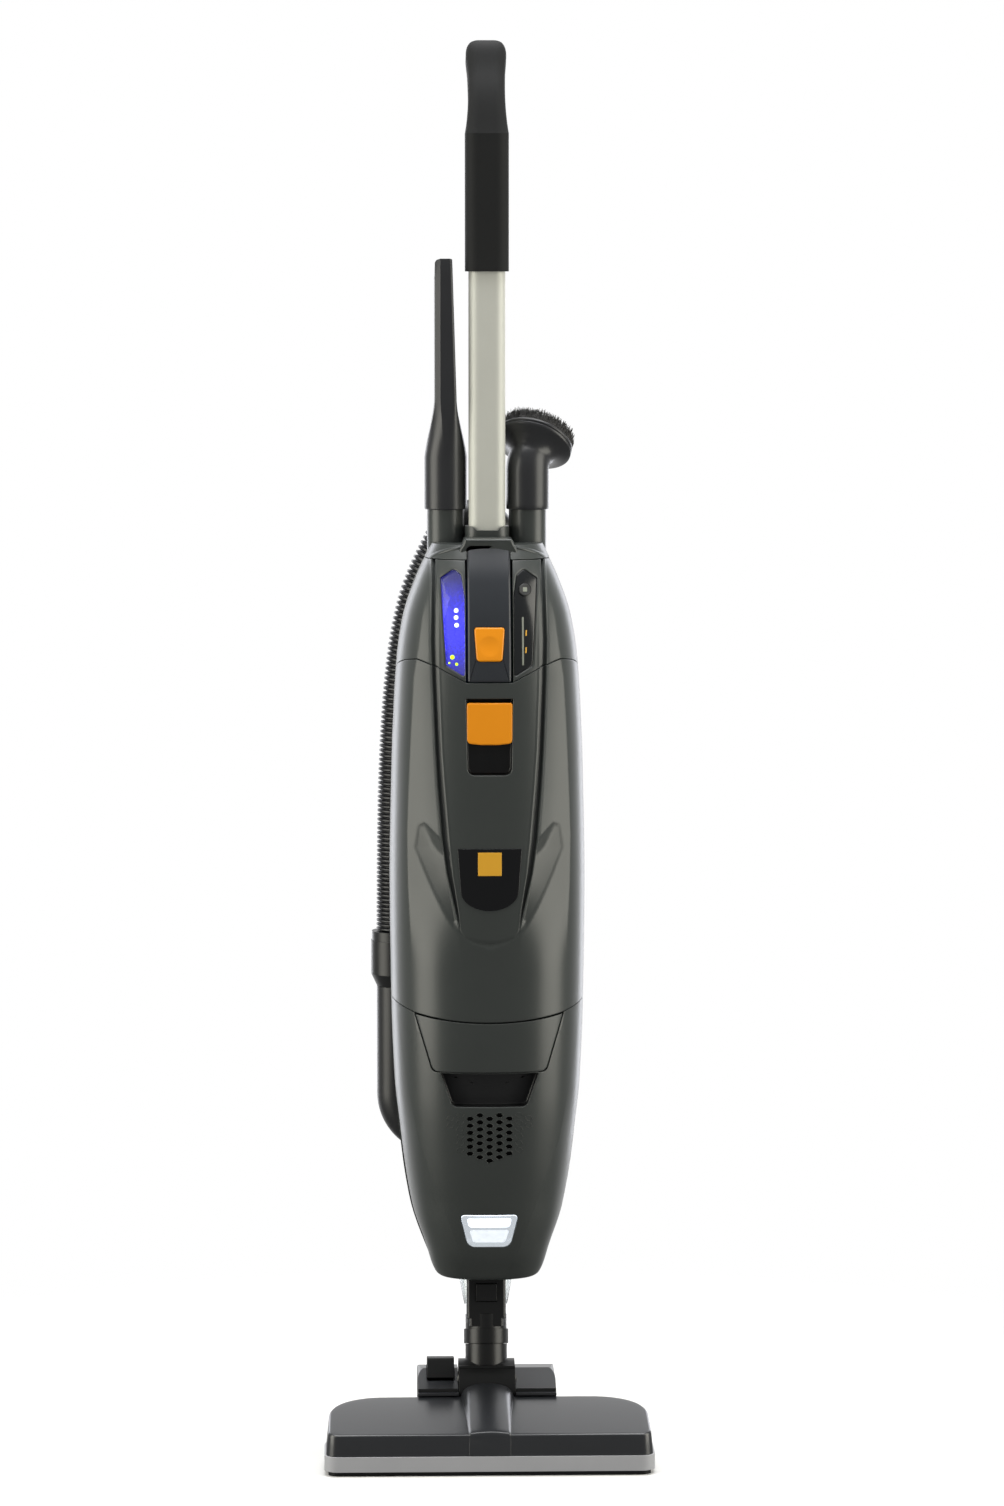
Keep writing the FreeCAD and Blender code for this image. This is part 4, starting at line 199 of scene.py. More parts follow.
def placeCamera(setup):
    turn = math.radians(setup["turn"])
    data = bpy.data.cameras.new("camera")
    camera = addObject("camera", data)
    camera.location = (setup["targetX"] + math.sin(turn) * setup["distance"],
                       -math.cos(turn) * setup["distance"], setup["height"])
    pitch = math.atan((setup["height"] - setup["targetHeight"]) / setup["distance"])
    level = math.cos(pitch)
    forward = Vector((-math.sin(turn) * level, math.cos(turn) * level, -math.sin(pitch)))
    camera.rotation_euler = forward.to_track_quat("-Z", "Y").to_euler()
    data.sensor_width = setup["sensor"]
    data.lens = setup["focalPixels"] * setup["sensor"] / setup["imageHeight"]
    data.clip_end = 50
    bpy.context.scene.camera = camera


placeCamera(cameraSetup)


# Finishes

# Two shades, the roughness and its spread, the grain's width and depth in mm, and where they differ from the
# usual, the shine, how metallic it is, and the stretch of its grain
finishRecipes = {
    # ABS, injection moulded in a fine spark texture: satin, soft highlights, a grain seen only close up
    "shell_grey": ("#373B3A", "#3B3F3E", 0.33, 0.05, 0.7, 0.015, 0.55),
    "nozzle_grey": ("#232529", "#282A2E", 0.3, 0.06, 0.7, 0.02, 0.8),
    # soft thermoplastic: pale grey, matt, dulled in patches
    "bumper_grey": ("#C2C3C8", "#B6B7BD", 0.5, 0.1, 1.2, 0.03),
    # polypropylene, moulded with a matt leather-like grain
    "black_plastic": ("#121315", "#18191B", 0.42, 0.08, 0.8, 0.03),
    "dark_plastic": ("#1F2021", "#252628", 0.45, 0.08, 0.9, 0.03),
    "duct_black": ("#1A1B1D", "#202123", 0.38, 0.07, 0.8, 0.03),
    "cuff_black": ("#101113", "#151618", 0.36, 0.07, 0.7, 0.02),
    "neck_black": ("#0E0F10", "#131415", 0.34, 0.07, 0.8, 0.03),
    "tray_dark": ("#161718", "#1B1C1D", 0.4, 0.08, 1.0, 0.02),
    # vinyl hose: supple, slightly glossy, with dust dulling it in patches
    "hose_grey": ("#1B1C1F", "#232428", 0.36, 0.12, 1.0, 0.02),
    "tool_black": ("#26272A", "#2C2D30", 0.33, 0.06, 0.7, 0.02),
    # rubberised soft-touch coat over the moulding: nearly matt, warm black
    "grip_black": ("#161718", "#1A1B1C", 0.7, 0.08, 0.5, 0.03, 0.25),
    "panel_black": ("#2B2E33", "#2F3237", 0.3, 0.05, 0.6, 0.015),
    # smoked polycarbonate, polished: a near-black gloss
    "window_smoke": ("#191B1D", "#1E2022", 0.16, 0.03, 0.8, 0.004),
    # ABS coloured through, semi-gloss
    "orange": ("#F3970C", "#EE9209", 0.38, 0.05, 0.8, 0.015),
    # printed foil on the badge and the scale: flat, faintly uneven
    "badge_orange": ("#E8AE33", "#E3A82E", 0.4, 0.04, 0.6, 0.006),
    "badge_black": ("#060709", "#090A0D", 0.22, 0.04, 0.6, 0.006),
    "mark_grey": ("#8B8F84", "#82867C", 0.4, 0.05, 0.8, 0.01),
    # anodised extrusion, drawn lines along the tube
    "tube_aluminium": ("#CCCDC6", "#C3C4BD", 0.6, 0.06, 0.6, 0.008, 0.5, 0.35, (1, 1, 0.04)),
    "aluminium": ("#B9BBBD", "#AEB0B2", 0.38, 0.1, 0.8, 0.02, 0.5, 1.0),
    "steel": ("#A9ABAD", "#9FA1A4", 0.3, 0.1, 0.7, 0.01, 0.5, 1.0),
    "iron": ("#5B5D60", "#4E5053", 0.5, 0.12, 0.9, 0.02, 0.5, 1.0),  # stamped laminations
    "wheel_rubber": ("#1B1B1C", "#232324", 0.72, 0.08, 1.0, 0.05),
    "seal_rubber": ("#161617", "#1B1B1C", 0.66, 0.08, 0.8, 0.04),
    "bristle": ("#151414", "#1F1D1B", 0.5, 0.1, 0.3, 0.02),
    # unbleached fibre: matt, its fibres standing up in the light
    "bag_paper": ("#D9CDB6", "#CDBFA6", 0.85, 0.05, 1.6, 0.09),
    "bag_card": ("#B9A27C", "#AD966F", 0.85, 0.05, 1.2, 0.07),
    "filter_white": ("#E6E6E2", "#D8D8D2", 0.9, 0.04, 1.8, 0.12),
    "foam_grey": ("#55575A", "#44464A", 0.95, 0.03, 1.5, 0.3),
    "board_green": ("#1E5A36", "#1A4F30", 0.35, 0.08, 1.4, 0.02),
}
patternSizes = {"mottle": 35.0, "edge": 0.5, "haze": 2.5, "lampPatch": 3.0, "frost": 1.6}  # all in mm


def newFinish(name, values):
    finish = bpy.data.materials.new(name)
    finish.use_nodes = True
    tree = finish.node_tree
    shader = tree.nodes["Principled BSDF"]
    setInputs(shader, values)
    return finish, tree, shader, addNode(tree, "TexCoord").outputs["Object"]


# A solid finish: two shades mottled over tens of millimetres, fine grain in bump and roughness
def solidFinish(name, colour, second, rough, spread, grain, height, shine=0.5, metallic=0.0,
                stretch=(1, 1, 1)):
    finish, tree, shader, place = newFinish(name, {"Metallic": metallic, "Specular IOR Level": shine})
    mottle = addNode(tree, "TexNoise", {"Vector": place},
                     {"Scale": 1 / (patternSizes["mottle"] * mm), "Detail": 4.0, "Roughness": 0.6})
    tone = addNode(tree, "Mix", {"Factor": mottle}, data_type="RGBA")
    setInputs(tone, {"A": linearColour(colour), "B": linearColour(second)})
    along = addNode(tree, "Mapping", {"Vector": place}, {"Scale": stretch})
    fine = addNode(tree, "TexNoise", {"Vector": along},
                   {"Scale": 1 / (grain * mm), "Detail": 3.0, "Roughness": 0.65})
    dull = addNode(tree, "MapRange", {"Value": fine}, mapRange(0, 1, rough - spread, rough + spread))
    rounded = addNode(tree, "Bevel", None, {"Radius": patternSizes["edge"] * mm}, samples=4)
    bump = addNode(tree, "Bump", {"Height": fine, "Normal": rounded},
                   {"Strength": 0.35, "Distance": height * mm})
    tree.links.new(tone.outputs["Result"], shader.inputs["Base Color"])
    tree.links.new(dull.outputs["Result"], shader.inputs["Roughness"])
    tree.links.new(bump.outputs["Normal"], shader.inputs["Normal"])
    return finish


# Clear mouldings: polycarbonate that passes light, with a faint haze of fine scratches
def clearFinish(name, colour, rough, ior=1.58, glow="#FFFFFF", strength=0.0, spread=0.12):
    finish, tree, shader, place = newFinish(name, {
        "Base Color": linearColour(colour), "Transmission Weight": 1.0, "IOR": ior,
        "Emission Color": linearColour(glow), "Emission Strength": strength})
    haze = addNode(tree, "TexNoise", {"Vector": place},
                   {"Scale": 1 / (patternSizes["haze"] * mm), "Detail": 4.0})
    dull = addNode(tree, "MapRange", {"Value": haze}, mapRange(0, 1, rough, rough + spread))
    tree.links.new(dull.outputs["Result"], shader.inputs["Roughness"])
    return finish


# Lamps and lit plastic: the colour is also the light's, a little uneven
def lampFinish(name, colour, strength):
    finish, tree, shader, place = newFinish(name, {
        "Base Color": linearColour(colour), "Roughness": 0.3, "Emission Color": linearColour(colour)})
    uneven = addNode(tree, "TexNoise", {"Vector": place},
                     {"Scale": 1 / (patternSizes["lampPatch"] * mm), "Detail": 2.0})
    power = addNode(tree, "MapRange", {"Value": uneven}, mapRange(0, 1, strength * 0.7, strength * 1.3))
    tree.links.new(power.outputs["Result"], shader.inputs["Emission Strength"])
    return finish


# Light tray: a moulding lit by blue lamps, brightest by the lamps, mottled all over. Heights are in metres
lightTray = {"deep": "#14144A", "bright": "#3432FF", "strength": 1.2, "top": (0.762, 0.730, 0.12, 1.0),
             "foot": (0.684, 0.712, 0.3, 1.0), "patches": (0, 1, 0.45, 1.25)}


def trayFinish(name, setup):
    finish, tree, shader, place = newFinish(name, {
        "Base Color": linearColour(setup["deep"]), "Roughness": 0.4,
        "Emission Color": linearColour(setup["bright"])})
    height = addNode(tree, "SeparateXYZ", {"Vector": place}).outputs["Z"]
    top = addNode(tree, "MapRange", {"Value": height}, mapRange(*setup["top"]))
    foot = addNode(tree, "MapRange", {"Value": height}, mapRange(*setup["foot"]))
    frost = addNode(tree, "TexVoronoi", {"Vector": place}, {"Scale": 1 / (patternSizes["frost"] * mm)})
    patchy = addNode(tree, "MapRange", {"Value": frost}, mapRange(*setup["patches"]))
    both = addNode(tree, "Math", {0: top, 1: foot}, operation="MULTIPLY")
    mottled = addNode(tree, "Math", {0: both, 1: patchy}, operation="MULTIPLY")
    power = addNode(tree, "Math", {0: mottled}, {1: setup["strength"]}, operation="MULTIPLY")
    tree.links.new(power.outputs[0], shader.inputs["Emission Strength"])
    return finish


finishes = {name: solidFinish(name, *recipe) for name, recipe in finishRecipes.items()}
finishes["clear_plastic"] = clearFinish("clear_plastic", "#E8ECEC", 0.08)
finishes["lens_clear"] = clearFinish("lens_clear", "#EEF3F8", 0.1, glow="#E3E9EF", strength=0.35)
finishes["window_blue"] = clearFinish("window_blue", "#3A3AD8", 0.12, glow="#4A49F3", strength=0.75)
finishes["window_dark"] = clearFinish("window_dark", "#3A3D3F", 0.1)
finishes["window_clear"] = clearFinish("window_clear", "#FFFFFF", 0.0, 1.3, spread=0.02)
finishes["tray_blue"] = trayFinish("tray_blue", lightTray)
for lampName, lampColour, lampStrength in (("lamp_soft", "#DDE4EC", 0.75), ("lamp_white", "#E8F0FF", 1.6),
                                           ("lamp_green", "#C8F000", 1.2)):
    finishes[lampName] = lampFinish(lampName, lampColour, lampStrength)

lookOf = {"wheel_carrier": "nozzle_grey", "neck_latch": "neck_black", "neck_pipe": "neck_black",
          "knuckle": "neck_black", "swivel_collar": "neck_black", "hinge_saddle": "neck_black"}
slotOf = {part["node"]: part["material_slot"] for part in frame["record"]["subparts"]}
for nodeName, nodeObject in frame["nodes"].items():
    nodeObject.data.materials.clear()
    nodeObject.data.materials.append(finishes[lookOf.get(nodeName, slotOf[nodeName])])
print("finishes made:", len(finishes))


# A Geometry Nodes tree: one geometry in, named sizes, real geometry with its material out
def newTree(name, floats, vectors=()):
    tree = bpy.data.node_groups.new(name, "GeometryNodeTree")
    tree.interface.new_socket(name="Start", in_out="INPUT", socket_type="NodeSocketGeometry")
    tree.interface.new_socket(name="Result", in_out="OUTPUT", socket_type="NodeSocketGeometry")
    names = {}
    for kind, keys in (("NodeSocketFloat", floats), ("NodeSocketVector", vectors)):
        for key in keys:
            names[key] = tree.interface.new_socket(name=key, in_out="INPUT", socket_type=kind).identifier
    return tree, names, addNode(tree, "NodeGroupInput").outputs


def endTree(tree, last, finish):
    real = addNode(tree, "RealizeInstances", {"Geometry": last})
    paint = addNode(tree, "SetMaterial", {"Geometry": real}, {"Material": finish})
    addNode(tree, "NodeGroupOutput", {"Result": paint})


def runTree(base, tree, names, values):
    change = base.modifiers.new(tree.name, "NODES")
    change.node_group = tree
    for key, identifier in names.items():
        change[identifier] = values[key]
    return applyModifiers(base)


# Stretch hose: a corrugated tube pulled open at its top and pushed together at its foot

hose = {
    "route": [(-76.0, 62.0, 448.2), (-75.7, 62.1, 505.0), (-75.0, 62.4, 561.0), (-72.9, 63.0, 617.0),
              (-69.0, 64.0, 671.0), (-62.0, 65.2, 719.0), (-50.0, 66.2, 758.6), (-31.5, 66.5, 793.0)],
    "radius": 18.8, "ringDepth": 2.8, "lowPitch": 3.7, "topPitch": 4.5, "samples": 1400, "around": 40,
    "ridgeShare": -0.4,  # below this part of the wave the ring is at its full radius
}


def hoseTree(finish):
    tree, names, sizes = newTree("hoseRings", ("radius", "ringDepth", "lowPitch", "topPitch"))
    fine = addNode(tree, "ResampleCurve", {"Curve": sizes["Start"]}, {"Count": hose["samples"]})
    along = addNode(tree, "SplineParameter")
    pitch = addNode(tree, "MapRange", {"Value": along.outputs["Factor"], "To Min": sizes["lowPitch"],
                                       "To Max": sizes["topPitch"]})
    # the number of rings up to here is the logarithm of the pitch's growth
    growth = addNode(tree, "Math", {0: pitch, 1: sizes["lowPitch"]}, operation="DIVIDE")
    logarithm = addNode(tree, "Math", {0: growth}, {1: math.e}, operation="LOGARITHM")
    spread = addNode(tree, "Math", {0: sizes["topPitch"], 1: sizes["lowPitch"]}, operation="SUBTRACT")
    total = addNode(tree, "CurveLength", {"Curve": sizes["Start"]})
    perPitch = addNode(tree, "Math", {0: total, 1: spread}, operation="DIVIDE")
    count = addNode(tree, "Math", {0: perPitch, 1: logarithm}, operation="MULTIPLY")
    phase = addNode(tree, "Math", {0: count}, {1: 2 * math.pi}, operation="MULTIPLY")
    wave = addNode(tree, "Math", {0: phase}, operation="COSINE")
    valley = addNode(tree, "MapRange", {"Value": wave, "To Max": sizes["ringDepth"]},
                     {"From Min": hose["ridgeShare"], "From Max": 1.0, "To Min": 0.0})
    bent = addNode(tree, "Math", {0: sizes["radius"], 1: valley}, operation="SUBTRACT")
    sized = addNode(tree, "SetCurveRadius", {"Curve": fine, "Radius": bent})
    circle = addNode(tree, "CurvePrimitiveCircle", None, {"Resolution": hose["around"], "Radius": 1.0})
    radius = addNode(tree, "InputRadius")
    tube = addNode(tree, "CurveToMesh", {"Curve": sized, "Profile Curve": circle, "Scale": radius},
                   {"Fill Caps": True})
    endTree(tree, tube, finish)
    return tree, names


def makeHose():
    data = bpy.data.curves.new("hoseRoute", "CURVE")
    data.dimensions = "3D"
    data.resolution_u = 24
    line = data.splines.new("NURBS")
    line.points.add(len(hose["route"]) - 1)
    for point, place in zip(line.points, hose["route"]):
        point.co = tuple(c * mm for c in place) + (1.0,)
    line.order_u = 3
    line.use_endpoint_u = True
    route = addObject("hoseRoute", data)
    view = bpy.context.evaluated_depsgraph_get()
    plain = bpy.data.meshes.new_from_object(route.evaluated_get(view), depsgraph=view)
    tree, names = hoseTree(finishes["hose_grey"])
    piece = runTree(route, tree, names, {key: hose[key] * mm for key in names})
    piece.name = "stretchHose"
    bpy.data.objects.remove(route)
    finishPiece(piece, "housing", "hose_grey", ["stretch_hose"], angle=60)


makeHose()


# Body form: one smooth profile, rounder in front than behind. A row is height, half width, reach to the front

bodyShape = {
    "bottom": 160.0, "back": 42.0, "parting": 5.8, "front": 2.5, "squarer": 0.7, "rear": 4.5, "wall": 3.0,
    "edge": 0.7,
    "profile": [(0, 45.6, 50.5), (8, 49.4, 54.4), (25, 54.6, 62.5), (60, 66.3, 71.5), (108, 74.0, 79.2),
                (165, 79.4, 84.8), (235, 82.3, 88), (340, 83.6, 90), (440, 81.9, 88.6), (495, 79.7, 86.6),
                (537, 76.7, 82.6), (570, 71.2, 75.8), (600, 61, 64.5), (630, 47, 46)],
}


def smoothLine(places, values):
    places, values = np.array(places, float), np.array(values, float)
    steps, rises = np.diff(places), np.diff(values)
    slopes = rises / steps
    tangents = np.zeros(len(places))
    for i in range(1, len(places) - 1):
        a, b = slopes[i - 1], slopes[i]
        tangents[i] = 2 * a * b / (a + b) if a * b > 0 else 0.0
    tangents[0], tangents[-1] = slopes[0], slopes[-1]

    def at(x):
        x = np.clip(np.asarray(x, float), places[0], places[-1])
        i = np.clip(np.searchsorted(places, x, side="right") - 1, 0, len(steps) - 1)
        h = steps[i]
        t = (x - places[i]) / h
        return ((2 * t ** 3 - 3 * t ** 2 + 1) * values[i] + (t ** 3 - 2 * t ** 2 + t) * h * tangents[i]
                + (3 * t ** 2 - 2 * t ** 3) * values[i + 1] + (t ** 3 - t ** 2) * h * tangents[i + 1])
    return at


heights = [row[0] + bodyShape["bottom"] for row in bodyShape["profile"]]
halfWidth = smoothLine(heights, [row[1] for row in bodyShape["profile"]])
frontReach = smoothLine(heights, [row[2] for row in bodyShape["profile"]])


def straightLine(points):
    return lambda z: np.interp(z, [p[0] for p in points], [p[1] for p in points])


# The front is squarer at the body's foot than further up
def frontPower(z):
    t = np.clip((235 - np.asarray(z, float)) / 70, 0, 1)
    return bodyShape["front"] + bodyShape["squarer"] * t * t * (3 - 2 * t)


def frontY(x, z, inset=0.0):
    a, f, n = halfWidth(z) - inset, frontReach(z) - inset, frontPower(z)
    return -f * (1 - np.minimum(np.abs(x) / a, 1) ** n) ** (1 / n)


def faceY(x, z):
    return float(frontY(x, z))


# Point and outward normal on the body. Turn 0 is the middle of the front, 90 the widest place, and what is
# beyond 90 is y in mm
def bodyPoint(turn, z, side):
    a, f, n, m, back = halfWidth(z), frontReach(z), frontPower(z), bodyShape["rear"], bodyShape["back"]
    front = turn <= 90
    angle = np.radians(np.minimum(turn, 90))
    y = np.where(front, -f * np.cos(angle) ** (2 / n), turn - 90)
    x = np.where(front, a * np.sin(angle) ** (2 / n), a * (1 - (np.maximum(y, 0) / back) ** m) ** (1 / m))
    power, reach = np.where(front, n, m), np.where(front, f, back)
    slopeA, slopeF = (halfWidth(z + 0.5) - halfWidth(z - 0.5)), (frontReach(z + 0.5) - frontReach(z - 0.5))
    xs, ys = x / a, np.abs(y) / reach
    normal = np.stack([xs ** (power - 1) / a, np.sign(y) * ys ** (power - 1) / reach,
                       -(xs ** power * slopeA / a + np.where(front, ys ** power * slopeF / reach, 0))], -1)
    normal /= np.linalg.norm(normal, axis=-1, keepdims=True)
    flip = np.array([side, 1, 1])
    return np.stack([x, y, z + 0 * x], -1) * flip, normal * flip


# A closed shell between an outer and an inner grid of points
def gridShell(name, outer, inner):
    outer, inner = np.array(outer), np.array(inner)
    rows, columns = outer.shape[:2]
    shift = rows * columns
    faces = []
    for i in range(rows - 1):
        for j in range(columns - 1):
            k = i * columns + j
            quad = (k, k + 1, k + 1 + columns, k + columns)
            faces += [quad, tuple(q + shift for q in reversed(quad))]
    rim = list(range(columns)) + [i * columns + columns - 1 for i in range(1, rows)]
    rim += [(rows - 1) * columns + j for j in reversed(range(columns - 1))]
    rim += [i * columns for i in reversed(range(1, rows - 1))]
    faces += [(b, a, a + shift, b + shift) for a, b in zip(rim, rim[1:] + rim[:1])]
    points = np.concatenate([outer.reshape(-1, 3), inner.reshape(-1, 3)]).tolist()
    return pointOutwards(meshObject(name, points, faces))


# A shell on the body between two seams. Columns follow the key lines, which are x at a height
def bodyShell(name, keyLines, counts, lowSeam, highSeam, rows, sink, lowEdge=True, bottomRound=0):
    edge, wall, parting = bodyShape["edge"], bodyShape["wall"], bodyShape["parting"]
    shares = np.array([0.0] + [k + (i + 1) / count for k, count in enumerate(counts) for i in range(count)])
    near = np.array([0, 0.1, 0.25, 0.45, 0.7, 1.2]) / 200  # rows close to an edge, in a height of 200 mm
    r = np.unique(np.concatenate([near, 1 - near, np.linspace(0, 1, rows)]))
    sheets = []
    for side in (-1, 1):
        z = np.full((len(r), len(shares)), 400.0)  # any height will do: it settles in a few rounds
        for _ in range(5):
            a = halfWidth(z)
            keys = [np.zeros_like(z)]
            for line in keyLines:
                x = np.minimum(np.maximum(line(z), 0), a)
                keys.append(np.degrees(np.arcsin((x / a) ** (frontPower(z) / 2))))
            keys = np.stack(keys + [np.full_like(z, 90.0), np.full_like(z, 90.0 + parting)], 0)
            base = np.minimum(shares.astype(int), len(keys) - 2)
            part = shares - base
            columns = np.arange(len(shares))
            turn = keys[base, :, columns].T * (1 - part) + keys[base + 1, :, columns].T * part
            point, normal = bodyPoint(turn, z, side)
            x, y = np.abs(point[..., 0]), point[..., 1]
            low, high = lowSeam(x, y), highSeam(x, y)
            z = low + (high - low) * r[:, None]
        point, normal = bodyPoint(turn, z, side)
        depth = sink(np.abs(point[..., 0]), z)
        for gap in [high - z, 90 + parting - turn] + [z - low] * lowEdge:
            e = np.clip(edge - np.maximum(gap, 0), 0, edge)
            depth = depth + edge - np.sqrt(np.maximum(edge ** 2 - e ** 2, 0))
        if bottomRound:
            e = np.clip(bottomRound - (z - low), 0, bottomRound)
            pull = bottomRound - np.sqrt(np.maximum(bottomRound ** 2 - e ** 2, 0))
            point = point - normal * np.array([1, 1, 0]) * pull[..., None]
        sheets.append([point - normal * (depth + inset)[..., None] for inset in (0, wall)])
    outer, inner = (np.concatenate([left[:, ::-1], right[:, 1:]], 1) for left, right in zip(*sheets))
    return gridShell(name, outer, inner)


# A rounded outline in x and z, as points a given step apart
def roundedOutline(corners, radii, step=0.8):
    points = []
    count = len(corners)
    for i in range(count):
        here, before, after = (Vector(corners[(i + k) % count]) for k in (0, -1, 1))
        toBefore, toAfter = (before - here).normalized(), (after - here).normalized()
        half = toBefore.angle(toAfter) / 2
        radius = radii[i]
        if radius <= 0 or half > 1.55:  # nothing to round where the outline runs nearly straight on
            points.append(here)
            continue
        reach = radius / math.tan(half)
        centre = here + (toBefore + toAfter).normalized() * radius / math.sin(half)
        start, end = here + toBefore * reach, here + toAfter * reach
        a, b = start - centre, end - centre
        turn = a.angle(b)
        sign = 1 if a.x * b.y - a.y * b.x > 0 else -1
        parts = max(3, int(radius * turn / step) + 1)
        for k in range(parts + 1):
            points.append(centre + Matrix.Rotation(sign * turn * k / parts, 2) @ a)
    dense = []
    for a, b in zip(points, points[1:] + points[:1]):
        parts = max(1, int((b - a).length / (3 * step)))
        dense += [a.lerp(b, k / parts) for k in range(parts)]
    return dense


# An outline that is the same on both sides, level at its foot and top
def tapered(lowHalf, low, topHalf, high, lowRound, topRound=None, step=0.8, middle=0.0):
    corners = [(middle - lowHalf, low), (middle + lowHalf, low),
               (middle + topHalf, high), (middle - topHalf, high)]
    topRound = lowRound if topRound is None else topRound
    return roundedOutline(corners, [lowRound, lowRound, topRound, topRound], step)


def grow(outline, offset):
    made = []
    area = sum(a.x * b.y - a.y * b.x for a, b in zip(outline, outline[1:] + outline[:1]))
    sign = 1 if area > 0 else -1
    count = len(outline)
    for i, here in enumerate(outline):
        along = outline[(i + 1) % count] - outline[i - 1]
        made.append(here + Vector((along.y, -along.x)).normalized() * offset * sign)
    return made


# An outline as a ring at one depth, and one that lies on the body with the depth under its surface
def flatRing(outline, y):
    return [(p.x, y, p.y) for p in outline]


def bodyRing(outline, depth):
    return [(p.x, faceY(p.x, p.y) + depth, p.y) for p in outline]


# Rings of an outline laid on the body: how far it is grown, the depth, and True where that is a plain y
def surfaceRings(outline, steps):
    return [(flatRing if flat else bodyRing)(grow(outline, grown), depth) for grown, depth, flat in steps]


frontOfAll, behindAll = -130, 20  # y before and behind every front wall


def openingCutter(outline, rounding, depth):
    steps = [(rounding + 1, frontOfAll, True), (rounding + 1, -1.2, False), (rounding, 0, False)]
    steps += [(rounding * (1 - math.sin(a)), rounding * (1 - math.cos(a)), False)
              for a in radiansOf(25, 50, 70, 90)]
    steps += [(0, depth, False), (0, behindAll, True)]
    return joinParts("cutter", [loft(surfaceRings(outline, steps))])


# A cup under an opening: wall, rounded foot and floor, a closed solid
def recessCup(name, outline, top, depth, wall=1.6, foot=2.0):
    inside = [(-0.02, top + (depth - foot - top) * k / 4, False) for k in range(5)]
    inside += [(-foot * (1 - math.cos(a)), depth - foot + foot * math.sin(a), False)
               for a in radiansOf(30, 60, 90)]
    outside = [(wall, top, False), (wall, depth + wall, False)]
    floor = grow(outline, -foot)
    centre = sum(floor, Vector((0, 0))) / len(floor)
    flat = [bodyRing([centre + (p - centre) * share for p in floor], depth) for share in (0.05, 0.35, 0.7)]
    return solid(name, flat + surfaceRings(outline, inside[::-1] + outside))


# A plate that follows the body: proud of it by some, rounded along its rim, dished where the function says
def surfacePlate(name, outline, proud, thick, rounding=0.6, dish=lambda x, z: 0, rings=14):
    centre = sum(outline, Vector((0, 0))) / len(outline)
    steps = [(0.0, thick - proud, False), (0.0, rounding - proud, False)]
    steps += [(-rounding * (1 - math.cos(a)), rounding * (1 - math.sin(a)) - proud, False)
              for a in radiansOf(20, 45, 70, 90)]
    made = surfaceRings(outline, steps)
    edge = grow(outline, -rounding)
    for k in range(1, rings + 1):
        share = max(1 - k / rings, 0.02)
        ring = [centre + (p - centre) * share for p in edge]
        made.append([(q.x, faceY(q.x, q.y) - proud + dish(q.x, q.y), q.y) for q in ring])
    return solid(name, made)


def smoothStep(low, high, value):
    t = np.clip((value - low) / (high - low), 0, 1)
    return t * t * (3 - 2 * t)


# Seams, as heights over x and y. The upper one's ends follow the swing of the door round its hinge
seams = {"upper": [(0, 676.2), (19.5, 676.2), (43.5, 688.5), (61.0, 694.5)], "hinge": (-88.3, 387.9),
         "lowerMiddle": 387.7, "lowerShoulder": (62.0, 393.6), "lowerEnd": (83.0, 401.0), "gap": 0.55}
upperLine = straightLine(seams["upper"])
shoulderX, shoulderZ = seams["upper"][-1]
swingReach = math.hypot(faceY(shoulderX, shoulderZ) - seams["hinge"][0], shoulderZ - seams["hinge"][1])


def upperSeam(x, y):
    swing = seams["hinge"][1] + np.sqrt(np.maximum(swingReach ** 2 - (y - seams["hinge"][0]) ** 2, 0))
    return np.where(x < shoulderX, upperLine(x), swing)


def raised(seam, by):
    return lambda x, y: seam(x, y) + by


def levelSeam(z):
    return lambda x, y: 0 * x + z


def lowerSeam(x, y):
    sx, sz = seams["lowerShoulder"]
    rise = sz - seams["lowerMiddle"]
    radius = (sx ** 2 + rise ** 2) / (2 * rise)
    arc = seams["lowerMiddle"] + radius - np.sqrt(np.maximum(radius ** 2 - np.minimum(x, sx) ** 2, 0))
    ex, ez = seams["lowerEnd"]
    return np.where(x < sx, arc, sz + (x - sx) * (ez - sz) / (ex - sx))


# The tongue's groove and the bright facet beside it, in x at a height
tongue = {
    "inner": [(452, 23.0), (468.6, 24.6), (484, 26.6), (514, 31.5), (544, 34.6), (589, 38.4), (619, 40.6),
              (679, 42.9), (711, 43.2), (745, 43.4), (779, 44.6)],
    "outer": [(452, 24.2), (468.6, 25.6), (484, 28.9), (514, 36.0), (544, 40.2), (589, 43.7), (619, 45.4),
              (679, 47.8), (711, 48.8), (745, 48.2), (779, 47.4)],
    "crease": [(387, 62.0), (445, 66.0), (500, 68.4), (548, 69.3), (581, 68.2), (619, 66.6), (679, 63.5),
               (703, 59.4), (730, 56.0), (747, 52.0), (779, 49.5)],
    "grooveDepth": 3.2, "lip": 0.8, "bead": 0.35, "beadWidth": 0.6, "fadeLow": (464, 484),
    "wedgeFade": (735, 750, 430, 520),
    "scoop": [(0, 451.4), (19, 457.3), (31.6, 469.9), (53.3, 503.7), (65, 535), (61.6, 560.9), (44.5, 546.6)],
    "scoopFoot": [(20.0, 462.0), (10.0, 458.6), (0.0, 457.6)], "scoopHeights": (540, 520, 500, 480, 470),
    "scoopDepth": 4.6, "scoopStep": 0.35,
}
innerLine, outerLine, creaseLine = (straightLine(tongue[k]) for k in ("inner", "outer", "crease"))


